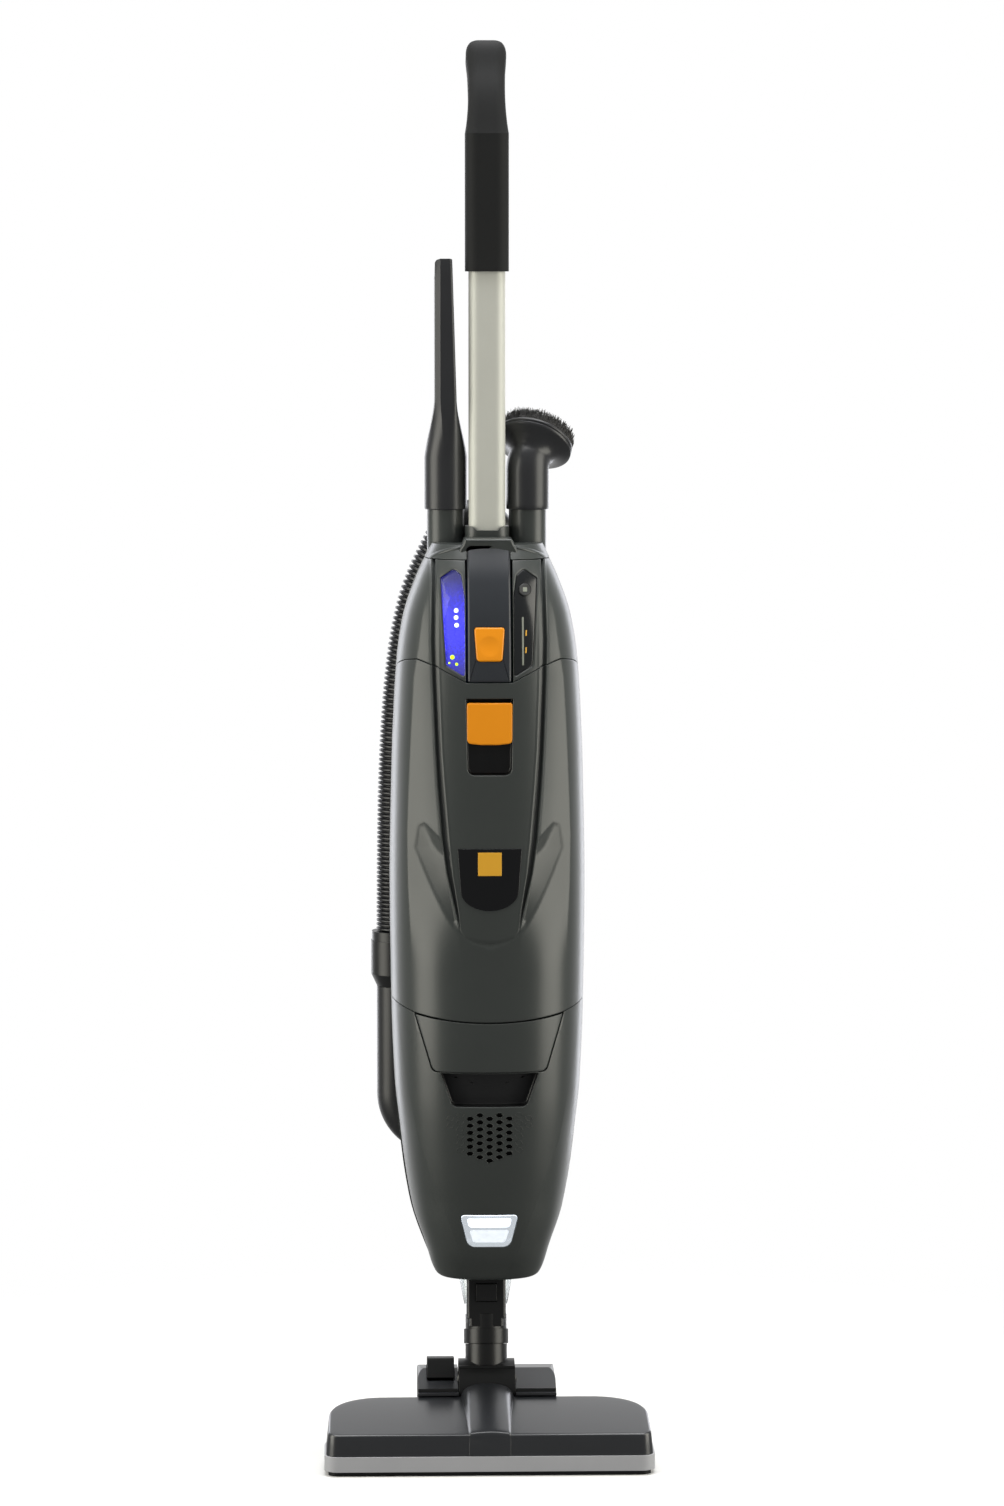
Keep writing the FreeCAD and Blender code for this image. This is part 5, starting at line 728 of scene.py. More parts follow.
def grooveSink(x, z):
    inner, outer = innerLine(z), outerLine(z)
    middle, half = (inner + outer) / 2, np.maximum((outer - inner) / 2, 0.3)
    across = np.abs(x - middle) / half
    fade = smoothStep(*tongue["fadeLow"], z)
    valley = tongue["grooveDepth"] * np.clip(1.25 * (1 - across ** 4), 0, 1) * np.minimum(half / 1.4, 1)
    beyond = np.maximum(across - 1, 0) * half
    bead = tongue["bead"] * np.exp(-((beyond - tongue["lip"]) / tongue["beadWidth"]) ** 2) * (across > 1)
    return (valley - bead) * fade


def wedgeSink(x, z):
    # flattens the face between the groove and the crease towards their chord
    outer, crease = outerLine(z) + tongue["lip"], np.minimum(creaseLine(z), halfWidth(z) - 2)
    share = np.clip((x - outer) / np.maximum(crease - outer, 1), 0, 1)
    y0, y1 = frontY(outer, z), frontY(crease, z)
    chord = y0 + (y1 - y0) * share
    bulge = np.maximum(chord - frontY(x, z), 0)
    inside = (x > outer) & (x < crease)
    highEnd, top, low, lowEnd = tongue["wedgeFade"]
    strength = (1 - smoothStep(highEnd, top, z)) * smoothStep(low, lowEnd, z)
    return np.where(inside, bulge * strength, 0)


def insidePolygon(x, z, corners):
    inside = np.zeros(x.shape, bool)
    for (ax, az), (bx, bz) in zip(corners, corners[1:] + corners[:1]):
        crosses = (az > z) != (bz > z)
        where = ax + (z - az) * (bx - ax) / (bz - az if bz != az else 1e-9)
        inside ^= crosses & (x < where)
    return inside


def lineDistance(x, z, points):
    best = np.full(x.shape, 1e9)
    for (ax, az), (bx, bz) in zip(points, points[1:]):
        dx, dz = bx - ax, bz - az
        t = np.clip(((x - ax) * dx + (z - az) * dz) / (dx * dx + dz * dz), 0, 1)
        best = np.minimum(best, np.hypot(x - ax - t * dx, z - az - t * dz))
    return best


def smoothCorners(points, rounds=3):
    for _ in range(rounds):
        made = [points[0]]
        for a, b in zip(points, points[1:]):
            made += [(a[0] * 0.75 + b[0] * 0.25, a[1] * 0.75 + b[1] * 0.25),
                     (a[0] * 0.25 + b[0] * 0.75, a[1] * 0.25 + b[1] * 0.75)]
        points = made + [points[-1]]
    return points


scoopEdge = smoothCorners(tongue["scoop"][:5], 3) + smoothCorners(tongue["scoop"][4:], 1)[1:]


def scoopSink(x, z):
    inner = [(float(outerLine(height)) + 0.3, height) for height in tongue["scoopHeights"]]
    inner += tongue["scoopFoot"]
    inside = insidePolygon(x, z, scoopEdge + inner)
    edge, toTongue = lineDistance(x, z, scoopEdge), lineDistance(x, z, inner)
    room = toTongue + edge
    nearLip = smoothStep(0.2, 2.2, toTongue)
    depth = tongue["scoopDepth"] * np.minimum(room / 20, 1) * np.clip(edge / np.maximum(room, 1), 0, 1)
    return np.where(inside, (depth + tongue["scoopStep"] * np.clip(edge / 0.8, 0, 1)) * nearLip, 0)


def headSink(x, z):
    return grooveSink(x, z) + wedgeSink(x, z)


def doorSink(x, z):
    return headSink(x, z) + scoopSink(x, z)


# Columns of the shells that carry the groove: its two walls, its lip, and both sides of the crease
def grooveKeys(margin):
    def crease(z):
        return np.minimum(creaseLine(z), halfWidth(z) - margin)
    return [lambda z: innerLine(z) - 1.0, innerLine, outerLine, lambda z: outerLine(z) + tongue["lip"],
            lambda z: crease(z) - 0.8, lambda z: crease(z) + 0.8]


latch = {"half": 19.8, "drawnIn": 1.2, "low": 598.4, "high": 662.8, "depth": 14.5, "rounding": 0.9,
         "tabHalf": 19.4, "tabLow": 624.0, "tabHigh": 659.4, "tabMiddle": 8.0, "tabBow": 1.4}
badge = {"half": 27.2, "low": 483.8, "high": 536.5, "cornerX": 2.6, "cornerZ": 17.0,
         "squareHalf": 10.0, "squareLow": 513.6, "squareHigh": 533.4}


def badgeOutline():
    half, low, high = badge["half"], badge["low"], badge["high"]
    reach = half - badge["cornerX"]
    arc = [Vector((reach * math.cos(a), low + badge["cornerZ"] * (1 - math.sin(a))))
           for a in radiansOf(*range(0, 181, 9))]
    corners = [(half, high), (-half, high)] + [tuple(p) for p in arc[::-1]]
    return roundedOutline(corners, [0.6, 0.6] + [0] * len(arc))


def makeDoor():
    shell = bodyShell("bagDoor", grooveKeys(0), [30, 2, 8, 2, 22, 2, 14, 4], raised(lowerSeam, seams["gap"]),
                      upperSeam, 215, doorSink)
    opening = tapered(latch["half"] - latch["drawnIn"], latch["low"], latch["half"], latch["high"], 6, 1)
    combine(shell, [openingCutter(opening, latch["rounding"], 8)])
    finishPiece(shell, "bag_door", "shell_grey", ["bag_door"])
    finishPiece(recessCup("latchRecess", opening, 0.9, latch["depth"]), "bag_door", "black_plastic")
    half, middle, low, high = (latch[key] for key in ("tabHalf", "tabMiddle", "tabLow", "tabHigh"))
    bowed = low + latch["tabBow"]
    corners = [(-half, bowed), (-middle, low), (middle, low), (half, bowed), (half, high), (-half, high)]
    tab = surfacePlate("doorLatch", roundedOutline(corners, [4, 40, 40, 4, 2.2, 2.2]), -0.2, 4.6, 1.2,
                       rings=20)
    finishPiece(tab, "door_latch", "orange", ["door_latch"])
    plate = surfacePlate("badgePlate", badgeOutline(), 0.75, 0.75, 0.3, rings=20)
    finishPiece(plate, "bag_door", "badge_black", ["badge_plate"])
    half = badge["squareHalf"]
    square = surfacePlate("badgeSquare", tapered(half, badge["squareLow"], half, badge["squareHigh"], 0.4),
                          0.95, 0.25, 0.1, rings=6)
    finishPiece(square, "bag_door", "orange", finish="badge_orange")
    print("door:", len(shell.data.polygons), "faces")


makeDoor()


# Motor housing below the lower seam, with the cover's bay, the finger recess, the grille and the lens

motor = {"bottomRound": 2.6, "facet": [(160, 15.0), (168, 18.0), (283, 60.0), (345, 72.0), (400, 80.0)],
         "facetDepth": 1.5, "facetSpread": 12.0, "facetFade": (285, 330),
         "cover": {"bottom": 345.0, "top": 402.0, "lowHalf": 48.0, "topHalf": 63.0, "corner": 4.0,
                   "thick": 2.4, "edge": 0.6, "play": 0.3},
         "recess": {"top": 344.0, "bottom": 315.5, "topHalf": 41.5, "lowHalf": 31.5, "depth": 13.0},
         "lens": {"low": 191.6, "high": 220.4, "lowHalf": 18.0, "topHalf": 25.0}}
facetLine = straightLine(motor["facet"])
coverSlope = ((motor["cover"]["topHalf"] - motor["cover"]["lowHalf"])
              / (seams["lowerShoulder"][1] - motor["cover"]["bottom"]))


def motorSink(x, z):
    outside = np.maximum(x - facetLine(z), 0)
    fade = 1 - smoothStep(*motor["facetFade"], z)
    return motor["facetDepth"] * (1 - np.exp(-outside / motor["facetSpread"])) * fade


def coverOutline(grown):
    c = motor["cover"]
    topHalf = c["lowHalf"] + coverSlope * (c["top"] - c["bottom"])
    return grow(tapered(c["lowHalf"], c["bottom"], topHalf, c["top"], 5, 0), grown)


def lensOutline():
    lens = motor["lens"]
    return tapered(lens["lowHalf"], lens["low"], lens["topHalf"], lens["high"], 8, 3)


def makeMotorHousing():
    keys = [lambda z: facetLine(z) * 0.5, lambda z: facetLine(z) - 0.6, lambda z: facetLine(z) + 0.6]
    shell = bodyShell("motorHousing", keys, [10, 10, 2, 26, 4], levelSeam(bodyShape["bottom"]), lowerSeam,
                      170, motorSink, lowEdge=False, bottomRound=motor["bottomRound"])
    r = motor["recess"]
    recess = tapered(r["lowHalf"], r["bottom"], r["topHalf"], r["top"], 6, 1)
    combine(shell, [openingCutter(coverOutline(0.35), 0.6, 8), openingCutter(recess, 0.9, 8),
                    openingCutter(lensOutline(), 0.5, 8), grilleCutters()])
    finishPiece(shell, "housing", "shell_grey", ["motor_housing"])
    finishPiece(recessCup("fingerRecess", recess, 0.9, r["depth"]), "housing", "black_plastic")
    print("motor housing:", len(shell.data.polygons), "faces")


# Exhaust grille: columns of slots, the blind ones at its edges only rimmed
grille = {"pitchX": 8.3, "pitchZ": 6.1, "top": 305.4, "width": 6.5, "height": 3.6, "open": {0: 7, 1: 7, 2: 6},
          "blind": {3: 6, 4: 2}, "rimGap": 0.5, "rim": 0.3, "rimLift": 0.1}


def grillePlaces(kind):
    places = []
    for column, rows in grille[kind].items():
        for side in ((1,) if column == 0 else (-1, 1)):
            start = grille["top"] + (grille["pitchZ"] / 2 if column % 2 else 0)
            places += [(side * column * grille["pitchX"], start - row * grille["pitchZ"])
                       for row in range(rows)]
    return places


def slotOutline(width, height, parts=5):
    r = height / 2
    turns = radiansOf(*(-90 + 180 * k / parts for k in range(parts + 1)))
    return [(sign * (width / 2 - r + r * math.cos(a)), sign * r * math.sin(a))
            for sign in (1, -1) for a in turns]


def grilleCutters():
    outline = slotOutline(grille["width"], grille["height"])
    parts = []
    for x, z in grillePlaces("open"):
        y = faceY(x, z)
        parts.append(loft([[(x + px, depth, z + pz) for px, pz in outline] for depth in (y - 6, y + 8)]))
    return joinParts("grilleCut", parts)


makeMotorHousing()


def makeFilterCover():
    c = motor["cover"]
    bottom, half, edge = c["bottom"] + c["play"], c["lowHalf"] - c["play"], c["edge"]
    upright = np.unique([0, 0.005, 0.012, 0.024, *np.linspace(0, 1, 40), 0.976, 0.988, 0.995])
    across = np.unique([-1, -0.995, -0.985, *np.linspace(-0.97, 0.97, 46), 0.985, 0.995, 1])
    front = []
    for r in upright:
        row = []
        for u in across:
            x = u * half
            for _ in range(3):
                top = float(lowerSeam(np.array(abs(x)), 0)) - seams["gap"]
                z = bottom + (top - bottom) * r
                reach = half + coverSlope * (z - c["bottom"])
                low = max(c["corner"] - (z - bottom), 0)  # drawn in round the lower corners
                reach -= c["corner"] - math.sqrt(c["corner"] ** 2 - low ** 2)
                x = u * reach
            e = max(edge - min((1 - abs(u)) * reach, z - bottom, top - z), 0)
            row.append((x, faceY(x, z) + edge - math.sqrt(max(edge ** 2 - e ** 2, 0)), z))
        front.append(row)
    piece = gridShell("exhaustFilterCover", front, np.array(front) + (0, c["thick"], 0))
    finishPiece(piece, "filter_cover", "shell_grey", ["exhaust_filter_cover"])
    print("filter cover:", len(piece.data.polygons), "faces")


makeFilterCover()


# Head: cover with the grooves running up it, two windows, the panel between them

head = {
    "seam": 777.8, "panelGap": 19.9, "panelHalf": 18.3, "panelTop": 789.0, "panelLow": 676.6,
    "window": [(20.6, 681.0), (36.4, 690.6), (39.6, 744.0), (40.6, 762.8), (29.2, 770.6), (23.4, 765.4),
               (20.8, 747.6)],
    "windowRound": [1.5, 2.5, 8, 2.0, 3.5, 3, 6], "trayDepth": 3.6,
    "power": {"low": 694.1, "high": 722.6, "lowHalf": 10.9, "topHalf": 13.0, "dish": (0.9, 8.5),
              "dishDrop": 1.5},
    "leds": [(-27.6, 736.0, 1.9), (-27.7, 730.2, 1.9), (-27.3, 723.9, 1.9)], "ledHeight": 1.6,
    "greens": [(-31.0, 697.4, 1.9), (-27.5, 691.6, 1.3), (-33.6, 692.6, 0.9)], "greenHeight": 1.2,
    "roundButton": {"x": 30.3, "z": 753.5, "radius": 5.0, "play": 0.2, "dish": (0.5, 4.2), "markHalf": 1.8},
    "bar": {"middle": 28.25, "half": 0.75, "low": 690.8, "high": 731.0},
    "marks": {"levelMarkHigh": (31.0, 717.6), "levelMarkLow": (30.8, 703.4)},
    "markCorners": [(-0.7, -2.8), (0.5, -2.2), (0.8, 2.8), (-0.4, 2.2)],
}


def windowOutline(side, grown):
    return grow(roundedOutline([(side * x, z) for x, z in head["window"]], head["windowRound"]), grown)


def roundOutline(x, z, radius, around=40):
    return [Vector((x + radius * math.cos(t), z + radius * math.sin(t))) for t in fullTurn(around)]


# A finger's dish: how deep it is in its middle, and its radius
def dishAt(x, z, depth, radius):
    return lambda px, pz: depth * max(1 - (math.hypot(px - x, pz - z) / radius) ** 2, 0)


# Lamps stand on the tray as small domes
def dome(x, z, radius, height):
    y = faceY(x, z) + head["trayDepth"]
    rings = [flatRing(roundOutline(x, z, radius, 16), y + 1.0)]
    rings += [flatRing(roundOutline(x, z, radius * math.cos(a), 16), y - height * math.sin(a))
              for a in radiansOf(*(88 * k / 5 for k in range(6)))]
    return loft(rings)


def makeHead():
    shell = bodyShell("headCover", grooveKeys(2.5), [28, 2, 8, 2, 8, 2, 14, 4],
                      raised(upperSeam, seams["gap"]), levelSeam(head["seam"]), 90, headSink)
    gap, half = head["panelGap"], head["panelHalf"]
    combine(shell, [openingCutter(windowOutline(-1, 0), 1.6, 8), openingCutter(windowOutline(1, 0), 1.6, 8),
                    openingCutter(tapered(gap, 640, gap, 800, 0), 1.0, 8)])
    finishPiece(shell, "housing", "shell_grey", ["head_cover"])
    panel = surfacePlate("controlPanel", tapered(half, head["panelLow"], half, head["panelTop"], 1.5, 4),
                         0.6, 3.0, 2.0, rings=40)
    p = head["power"]
    button = tapered(p["lowHalf"], p["low"], p["topHalf"], p["high"], 3.2, 2.4)
    hole = [(0.7, frontOfAll, True), (0.7, -2, False), (0.3, -0.1, False), (0.3, 7, False), (0.3, -30, True)]
    combine(panel, [joinParts("powerHole", [loft(surfaceRings(button, hole))])])
    finishPiece(panel, "housing", "panel_black", ["control_panel"])
    dish = dishAt(0, (p["low"] + p["high"]) / 2 - p["dishDrop"], *p["dish"])
    finishPiece(surfacePlate("powerButton", button, 1.2, 7.0, 1.4, dish, 26), "power_button", "orange",
                ["power_button"])
    print("head:", len(shell.data.polygons), "faces")


def makeWindows():
    b = head["roundButton"]
    for side, name, node, slotName, clear, tray in (
            (-1, "lightWindow", "light_window", "window_blue", "window_clear", "tray_blue"),
            (1, "displayWindow", "display_window", "window_dark", "window_smoke", "tray_dark")):
        cover = surfacePlate(name, windowOutline(side, -0.2), -0.5, 1.0, 0.4, rings=16)
        if side > 0:
            hole = roundOutline(b["x"], b["z"], b["radius"] + b["play"])
            combine(cover, [joinParts("buttonHole", [loft([flatRing(hole, y) for y in (frontOfAll, -20)])])])
        finishPiece(cover, "housing", slotName, [node], finish=clear)
        back = surfacePlate(name + "Tray", windowOutline(side, 0.5), -head["trayDepth"], 1.0, 0.3, rings=16)
        finishPiece(back, "housing", slotName, finish=tray)
    for name, places, height, look in (("whiteLamps", head["leds"], head["ledHeight"], "lamp_white"),
                                       ("greenLamps", head["greens"], head["greenHeight"], "lamp_green")):
        finishPiece(joinParts(name, [dome(x, z, r, height) for x, z, r in places]), "housing", look)


def makeDisplay():
    b, bar = head["roundButton"], head["bar"]
    button = surfacePlate("roundButton", roundOutline(b["x"], b["z"], b["radius"]), 0.8, 8.0, 0.7,
                          dishAt(b["x"], b["z"], *b["dish"]))
    finishPiece(button, "round_button", "dark_plastic", ["round_button"])
    half = b["markHalf"]
    mark = tapered(half, b["z"] + 0.1 - half, half, b["z"] + 0.1 + half, 0.3, middle=b["x"] + 0.1)
    finishPiece(surfacePlate("roundButtonMark", mark, 0.75, 0.7, 0.15, rings=4), "round_button", "mark_grey")
    shape = tapered(bar["half"], bar["low"], bar["half"], bar["high"], 0.4, middle=bar["middle"])
    finishPiece(surfacePlate("levelBar", shape, -0.45, 0.4, 0.1, rings=6), "housing", "mark_grey")
    for name, (x, z) in head["marks"].items():
        shape = roundedOutline([(x + px, z + pz) for px, pz in head["markCorners"]], [0.3] * 4)
        mark = surfacePlate(name, shape, -0.45, 0.4, 0.1, rings=4)
        finishPiece(mark, "housing", "orange", finish="badge_orange")


makeHead()
makeWindows()
makeDisplay()


# Headlight: a clear lens with two rows of lamps lying in it, as low, high, their half widths and the look
lampRows = {"headlightHighRow": (17.4, 209.6, 19.0, 217.4, "lamp_white"),
            "headlightLowRow": (13.5, 196.0, 17.0, 207.0, "lamp_soft")}


def makeHeadlight():
    lens = surfacePlate("headlightLens", grow(lensOutline(), -0.3), 0.3, 2.2, 0.9, rings=18)
    finishPiece(lens, "housing", "lens_clear", ["headlight_lens"])
    for name, (lowHalf, low, topHalf, high, look) in lampRows.items():
        row = surfacePlate(name, tapered(lowHalf, low, topHalf, high, 3, 1.5), 0.42, 0.5, 0.1, rings=8)
        finishPiece(row, "housing", "lamp_white", finish=look)


makeHeadlight()


# Nozzle hood: a drafted block with a rounded rim and an arched top, and the raised channel joined to it

nozzle = {
    "width": 282.0, "front": 96.5, "rear": 0.0, "bumper": 3.5, "foot": 17.0, "overhang": 2.0, "draft": 3.2,
    "frontCorner": 12.0, "rearCorner": 49.0, "crease": 35.5, "top": 50.0, "crown": 3.5, "rim": 2.2,
    "wall": 2.5, "blend": 1.4, "draftHeight": 33.0, "middleY": -46.0, "topRings": 26,
    "channelFront": (18.0, 37.5), "channelRear": (24.5, 64.0), "channelEnd": 13.0,
    "channelCrown": (1.5, 4.5), "channelCorner": (2.0, 7.0), "pivot": (25.0, 51.0), "saddleR": 29.0,
    # the channel's front end: how far back, how far down; it is rounded over these
    "channelNose": ((0, 2.6), (0.25, 1.6), (0.75, 0.8), (1.6, 0.2), (2.6, 0.0), (7.0, 0.0)), "noseLean": 0.1,
}


def nozzleOutline(grown, inset):
    half = nozzle["width"] / 2 - nozzle["bumper"] + grown
    front, rear = -nozzle["front"] + nozzle["bumper"] - grown, nozzle["rear"] - nozzle["bumper"] + grown
    frontRound, rearRound = (nozzle[key] + grown - nozzle["bumper"] for key in ("frontCorner", "rearCorner"))
    outline = tapered(half, front, half, rear, frontRound, rearRound, 1.2)
    return grow(outline, -inset) if inset else outline


def hoodTop(x, y):
    creaseY, rear = -nozzle["front"] + nozzle["bumper"] + 1.0, nozzle["rear"] + 10
    share = min(max((y - creaseY) / (rear - creaseY), 0), 1)
    rise = nozzle["crease"] + (nozzle["top"] - nozzle["crease"]) * (1 - (1 - share) ** 1.5)
    crown = nozzle["top"] + 1.0 - nozzle["crown"] * (2 * x / nozzle["width"]) ** 2
    gap = max(nozzle["blend"] - abs(rise - crown), 0) / nozzle["blend"]  # they meet in a soft blend
    return min(rise, crown) - gap ** 3 * nozzle["blend"] / 6


def hoodRings(inset):
    outline = nozzleOutline(nozzle["overhang"], inset)
    rim, foot, middle = nozzle["rim"], nozzle["foot"], nozzle["middleY"]
    rings = []
    for share in (0, 0.5, 1):
        ring = []
        for p, q in zip(outline, grow(outline, -nozzle["draft"])):
            high = hoodTop(q.x, q.y) - inset - rim
            lean = Vector(p).lerp(q, share * min((high - foot) / nozzle["draftHeight"], 1))
            ring.append((lean.x, lean.y, foot + (high - foot) * share))
        rings.append(ring)
    last = [Vector((x, y)) for x, y, z in rings[-1]]
    for a in radiansOf(22, 45, 67, 90):
        rings.append([(q.x, q.y, hoodTop(q.x, q.y) - inset - rim * (1 - math.sin(a)))
                      for q in grow(last, -rim * (1 - math.cos(a)))])
    edge = grow(last, -rim)
    for k in range(1, nozzle["topRings"] + 1):
        share = max(1 - k / nozzle["topRings"], 0.02)
        places = [(q.x * share, middle + (q.y - middle) * share) for q in edge]
        rings.append([(x, y, hoodTop(x, y) - inset) for x, y in places])
    return rings


def channelArch(y, grown=0.0):
    front = -nozzle["front"] + nozzle["bumper"] - nozzle["overhang"] + 0.6
    share = (y - front) / (nozzle["channelEnd"] - front)
    (h0, t0), (h1, t1) = nozzle["channelFront"], nozzle["channelRear"]
    half, top = h0 + (h1 - h0) * share + grown, t0 + (t1 - t0) * share + grown
    crown, corner = (nozzle[key][0] + nozzle[key][1] * share for key in ("channelCrown", "channelCorner"))
    foot = nozzle["foot"] + 0.5
    points = [(-half, y, foot)]
    for a in radiansOf(*range(-90, 91, 3)):
        x = half * math.sin(a)
        e = max(abs(x) - (half - corner), 0)
        fall = crown * (x / half) ** 2 + corner - math.sqrt(max(corner ** 2 - e ** 2, 0))
        points.append((x, y, top - fall))
    return points + [(half, y, foot)]


def makeHood():
    hood = solid("nozzleHood", hoodRings(0.0)[::-1] + hoodRings(nozzle["wall"]))
    start = -nozzle["front"] + nozzle["bumper"] - nozzle["overhang"] - 0.5
    nose, foot = nozzle["channelNose"], nozzle["foot"]
    arches = []
    for back, down in nose:
        lean = nozzle["noseLean"] * max(1 - back / nose[-1][0], 0)  # the front end follows the hood's draft
        arches.append([(x * (1 - down / 90), y + lean * (z - foot), z - down * (z > foot + 5))
                       for x, y, z in channelArch(start + back)])
    arches += [channelArch(y) for y in np.linspace(start + 10, nozzle["channelEnd"], 24)]
    combine(hood, [solid("channel", arches)], "UNION")
    py, pz = nozzle["pivot"]
    r = nozzle["saddleR"]
    rings = [[(x, py + r * math.cos(t), pz + r * math.sin(t)) for t in fullTurn(96)]
             for x in (-200, 200)]
    combine(hood, [joinParts("saddleRoom", [loft(rings)])])
    finishPiece(hood, "nozzle", "nozzle_grey", ["nozzle_hood"])
    print("hood:", len(hood.data.polygons), "faces")


makeHood()


# Lip of the hinge saddle over the channel's end, as y, how far grown and how high, out along it and back in;
# and the two strips in front of the carrier's lobes
trim = {
    "lip": [(2.0, 0.5, 0.0), (2.6, 1.0, 0.3), (5.5, 1.0, 2.0), (9.0, 0.8, 4.5), (12.5, 0.8, 8.0),
            (13.5, 1.6, 9.0), (14.6, 0.8, 8.4), (12.8, -0.4, 6.0), (9.0, -0.4, 2.5), (5.5, -0.4, 0.2),
            (2.2, -0.2, -0.2)],
    "lipWave": 0.7, "lipTop": 9.0, "waveTurn": 0.42, "lipFoot": 30.0,
    "strips": ((-60.0, -26.0), (25.6, 60.0)),
    "section": [(-1.9, 50.6), (-0.2, 50.2), (-0.2, 55.4), (-1.6, 55.6)],
    "depth": 1.4, "chamfer": 0.4,
}


def makeNozzleTrim():
    rings = []
    for place, grown, rise in trim["lip"]:
        wave = trim["lipWave"] * rise / trim["lipTop"]
        rings.append([(x, y, z + rise * (z > trim["lipFoot"]) + wave * math.cos(x * trim["waveTurn"]))
                      for x, y, z in channelArch(place, grown) if z > nozzle["foot"] + 1])
    finishPiece(solid("saddleLip", rings, closedAcross=False, closedAlong=True), "nozzle", "black_plastic",
                finish="neck_black")
    outline = roundedOutline(trim["section"], [0.6, 0.2, 0.2, 0.6], 0.3)
    cut = trim["chamfer"]
    strips = [loft([[(x, p.x * trim["depth"], p.y) for p in grow(outline, -inset)]
                    for x, inset in ((low, cut), (low + cut, 0.0), (high - cut, 0.0), (high, cut))])
              for low, high in trim["strips"]]
    strips = pointOutwards(joinParts("carrierStrips", strips))
    finishPiece(strips, "nozzle", "black_plastic", finish="neck_black")


makeNozzleTrim()


# Dusting brush: a socket that widens like a trumpet into a double rim, with a ring of bristles.
# Bell, rim, inside and bed are distances along the facing and radii

brush = {
    "foot": (35.0, 10.0, 818.0), "knee": 850.0, "kneeR": 18.0, "facing": (0.27, 0.57, 0.78), "radius": 18.2,
    "bell": [(2.5, 18.9), (5.0, 20.3), (7.5, 22.6), (9.6, 25.6), (11.4, 29.4), (12.6, 32.4)],
    "rim": [(13.0, 33.0), (14.8, 33.2), (15.4, 32.5), (15.9, 31.9), (16.4, 32.5), (17.0, 33.0), (18.4, 33.0),
            (19.0, 32.4)],
    "inner": [(19.0, 25.4), (13.0, 25.0), (6.0, 20.0), (0.0, 15.4)], "bore": 16.4, "chamfer": 0.6,
    "bed": [(18.6, 25.6), (19.4, 25.6), (19.4, 32.2), (18.6, 32.2)], "roots": [(19.3, 26.4), (19.3, 31.8)],
    "density": 4.2e6, "hairLength": 10.5,
}


def brushFrames():
    up = Vector((0, 0, 1))
    axis = Vector(brush["facing"]).normalized()
    flat = Vector((axis.x, axis.y, 0)).normalized()
    side = flat.cross(up).normalized()
    foot = Vector(brush["foot"])
    knee = Vector((foot.x, foot.y, brush["knee"]))
    places = [(foot.lerp(knee, k / 6), 0.0) for k in range(6)]
    for a in (up.angle(axis) * k / 12 for k in range(13)):
        forward = flat * brush["kneeR"] * (1 - math.cos(a))
        places.append((knee + up * brush["kneeR"] * math.sin(a) + forward, a))
    return [(place, flat * math.cos(a) - up * math.sin(a), side, flat * math.sin(a) + up * math.cos(a))
            for place, a in places]


def brushRing(frame, radius, ahead=0.0):
    place, across, side, along = frame
    middle = place + along * ahead
    return [tuple(middle + across * radius * math.cos(t) + side * radius * math.sin(t)) for t in fullTurn(72)]


def makeDustingBrush():
    frames = brushFrames()
    last, cut, radius = frames[-1], brush["chamfer"], brush["radius"]
    outer = [brushRing(frames[0], radius - cut), brushRing(frames[0], radius, cut)]
    outer += [brushRing(frame, radius) for frame in frames[1:]]
    outer += [brushRing(last, r, d) for d, r in brush["bell"] + brush["rim"]]
    inner = [brushRing(last, r, d) for d, r in brush["inner"]]
    inner += [brushRing(frame, brush["bore"]) for frame in frames[::-1]]
    shell = solid("dustingBrush", outer + inner, closedAlong=True)
    finishPiece(shell, "dusting_brush", "tool_black", ["dusting_brush"], angle=50)
    bed = solid("bristleBed", [brushRing(last, r, d) for d, r in brush["bed"]], closedAlong=True)
    roots = [brushRing(last, r, d) for d, r in brush["roots"]]
    bristles = joinParts("bristles", [loft(roots, capStart=False, capEnd=False)])
    growHairs(bristles, brush["density"], brush["hairLength"], tuple(last[3]))
    finishPiece(bristles, "dusting_brush", "bristle", ["dusting_bristles"])
    finishPiece(bed, "dusting_brush", "bristle")
    print("bristles:", len(bristles.data.polygons), "faces")


# Hairs standing on a face, each leaned and shortened a little by chance, thicker than real ones so they show
hairs = {"tip": 0.16, "root": 0.45, "lean": 0.2, "short": 0.55, "long": 1.12,
         "seed": 7, "leanSeed": 3, "sizeSeed": 5}


def growHairs(bed, density, length, facing):
    tree, names, sizes = newTree("hairs", ("density", "length"), ("facing",))
    points = addNode(tree, "DistributePointsOnFaces",
                     {"Mesh": sizes["Start"], "Density": sizes["density"]}, {"Seed": hairs["seed"]})
    cone = addNode(tree, "MeshCone", {"Depth": sizes["length"]},
                   {"Vertices": 3, "Radius Top": hairs["tip"] * mm, "Radius Bottom": hairs["root"] * mm})
    lean = hairs["lean"]
    chance = addNode(tree, "RandomValue", None,
                     {"Min": (-lean,) * 3, "Max": (lean,) * 3, "Seed": hairs["leanSeed"]},
                     data_type="FLOAT_VECTOR")
    leaning = addNode(tree, "VectorMath", {0: sizes["facing"], 1: chance.outputs["Value"]}, operation="ADD")
    turned = addNode(tree, "AlignRotationToVector", {"Vector": leaning}, axis="Z")
    size = addNode(tree, "RandomValue", None,
                   {"Seed": hairs["sizeSeed"], 2: hairs["short"], 3: hairs["long"]}, data_type="FLOAT")
    placed = addNode(tree, "InstanceOnPoints",
                     {"Points": points, "Instance": cone, "Rotation": turned, "Scale": size.outputs[1]})
    endTree(tree, placed, finishes["bristle"])
    runTree(bed, tree, names, {"density": density, "length": length * mm, "facing": facing})


makeDustingBrush()


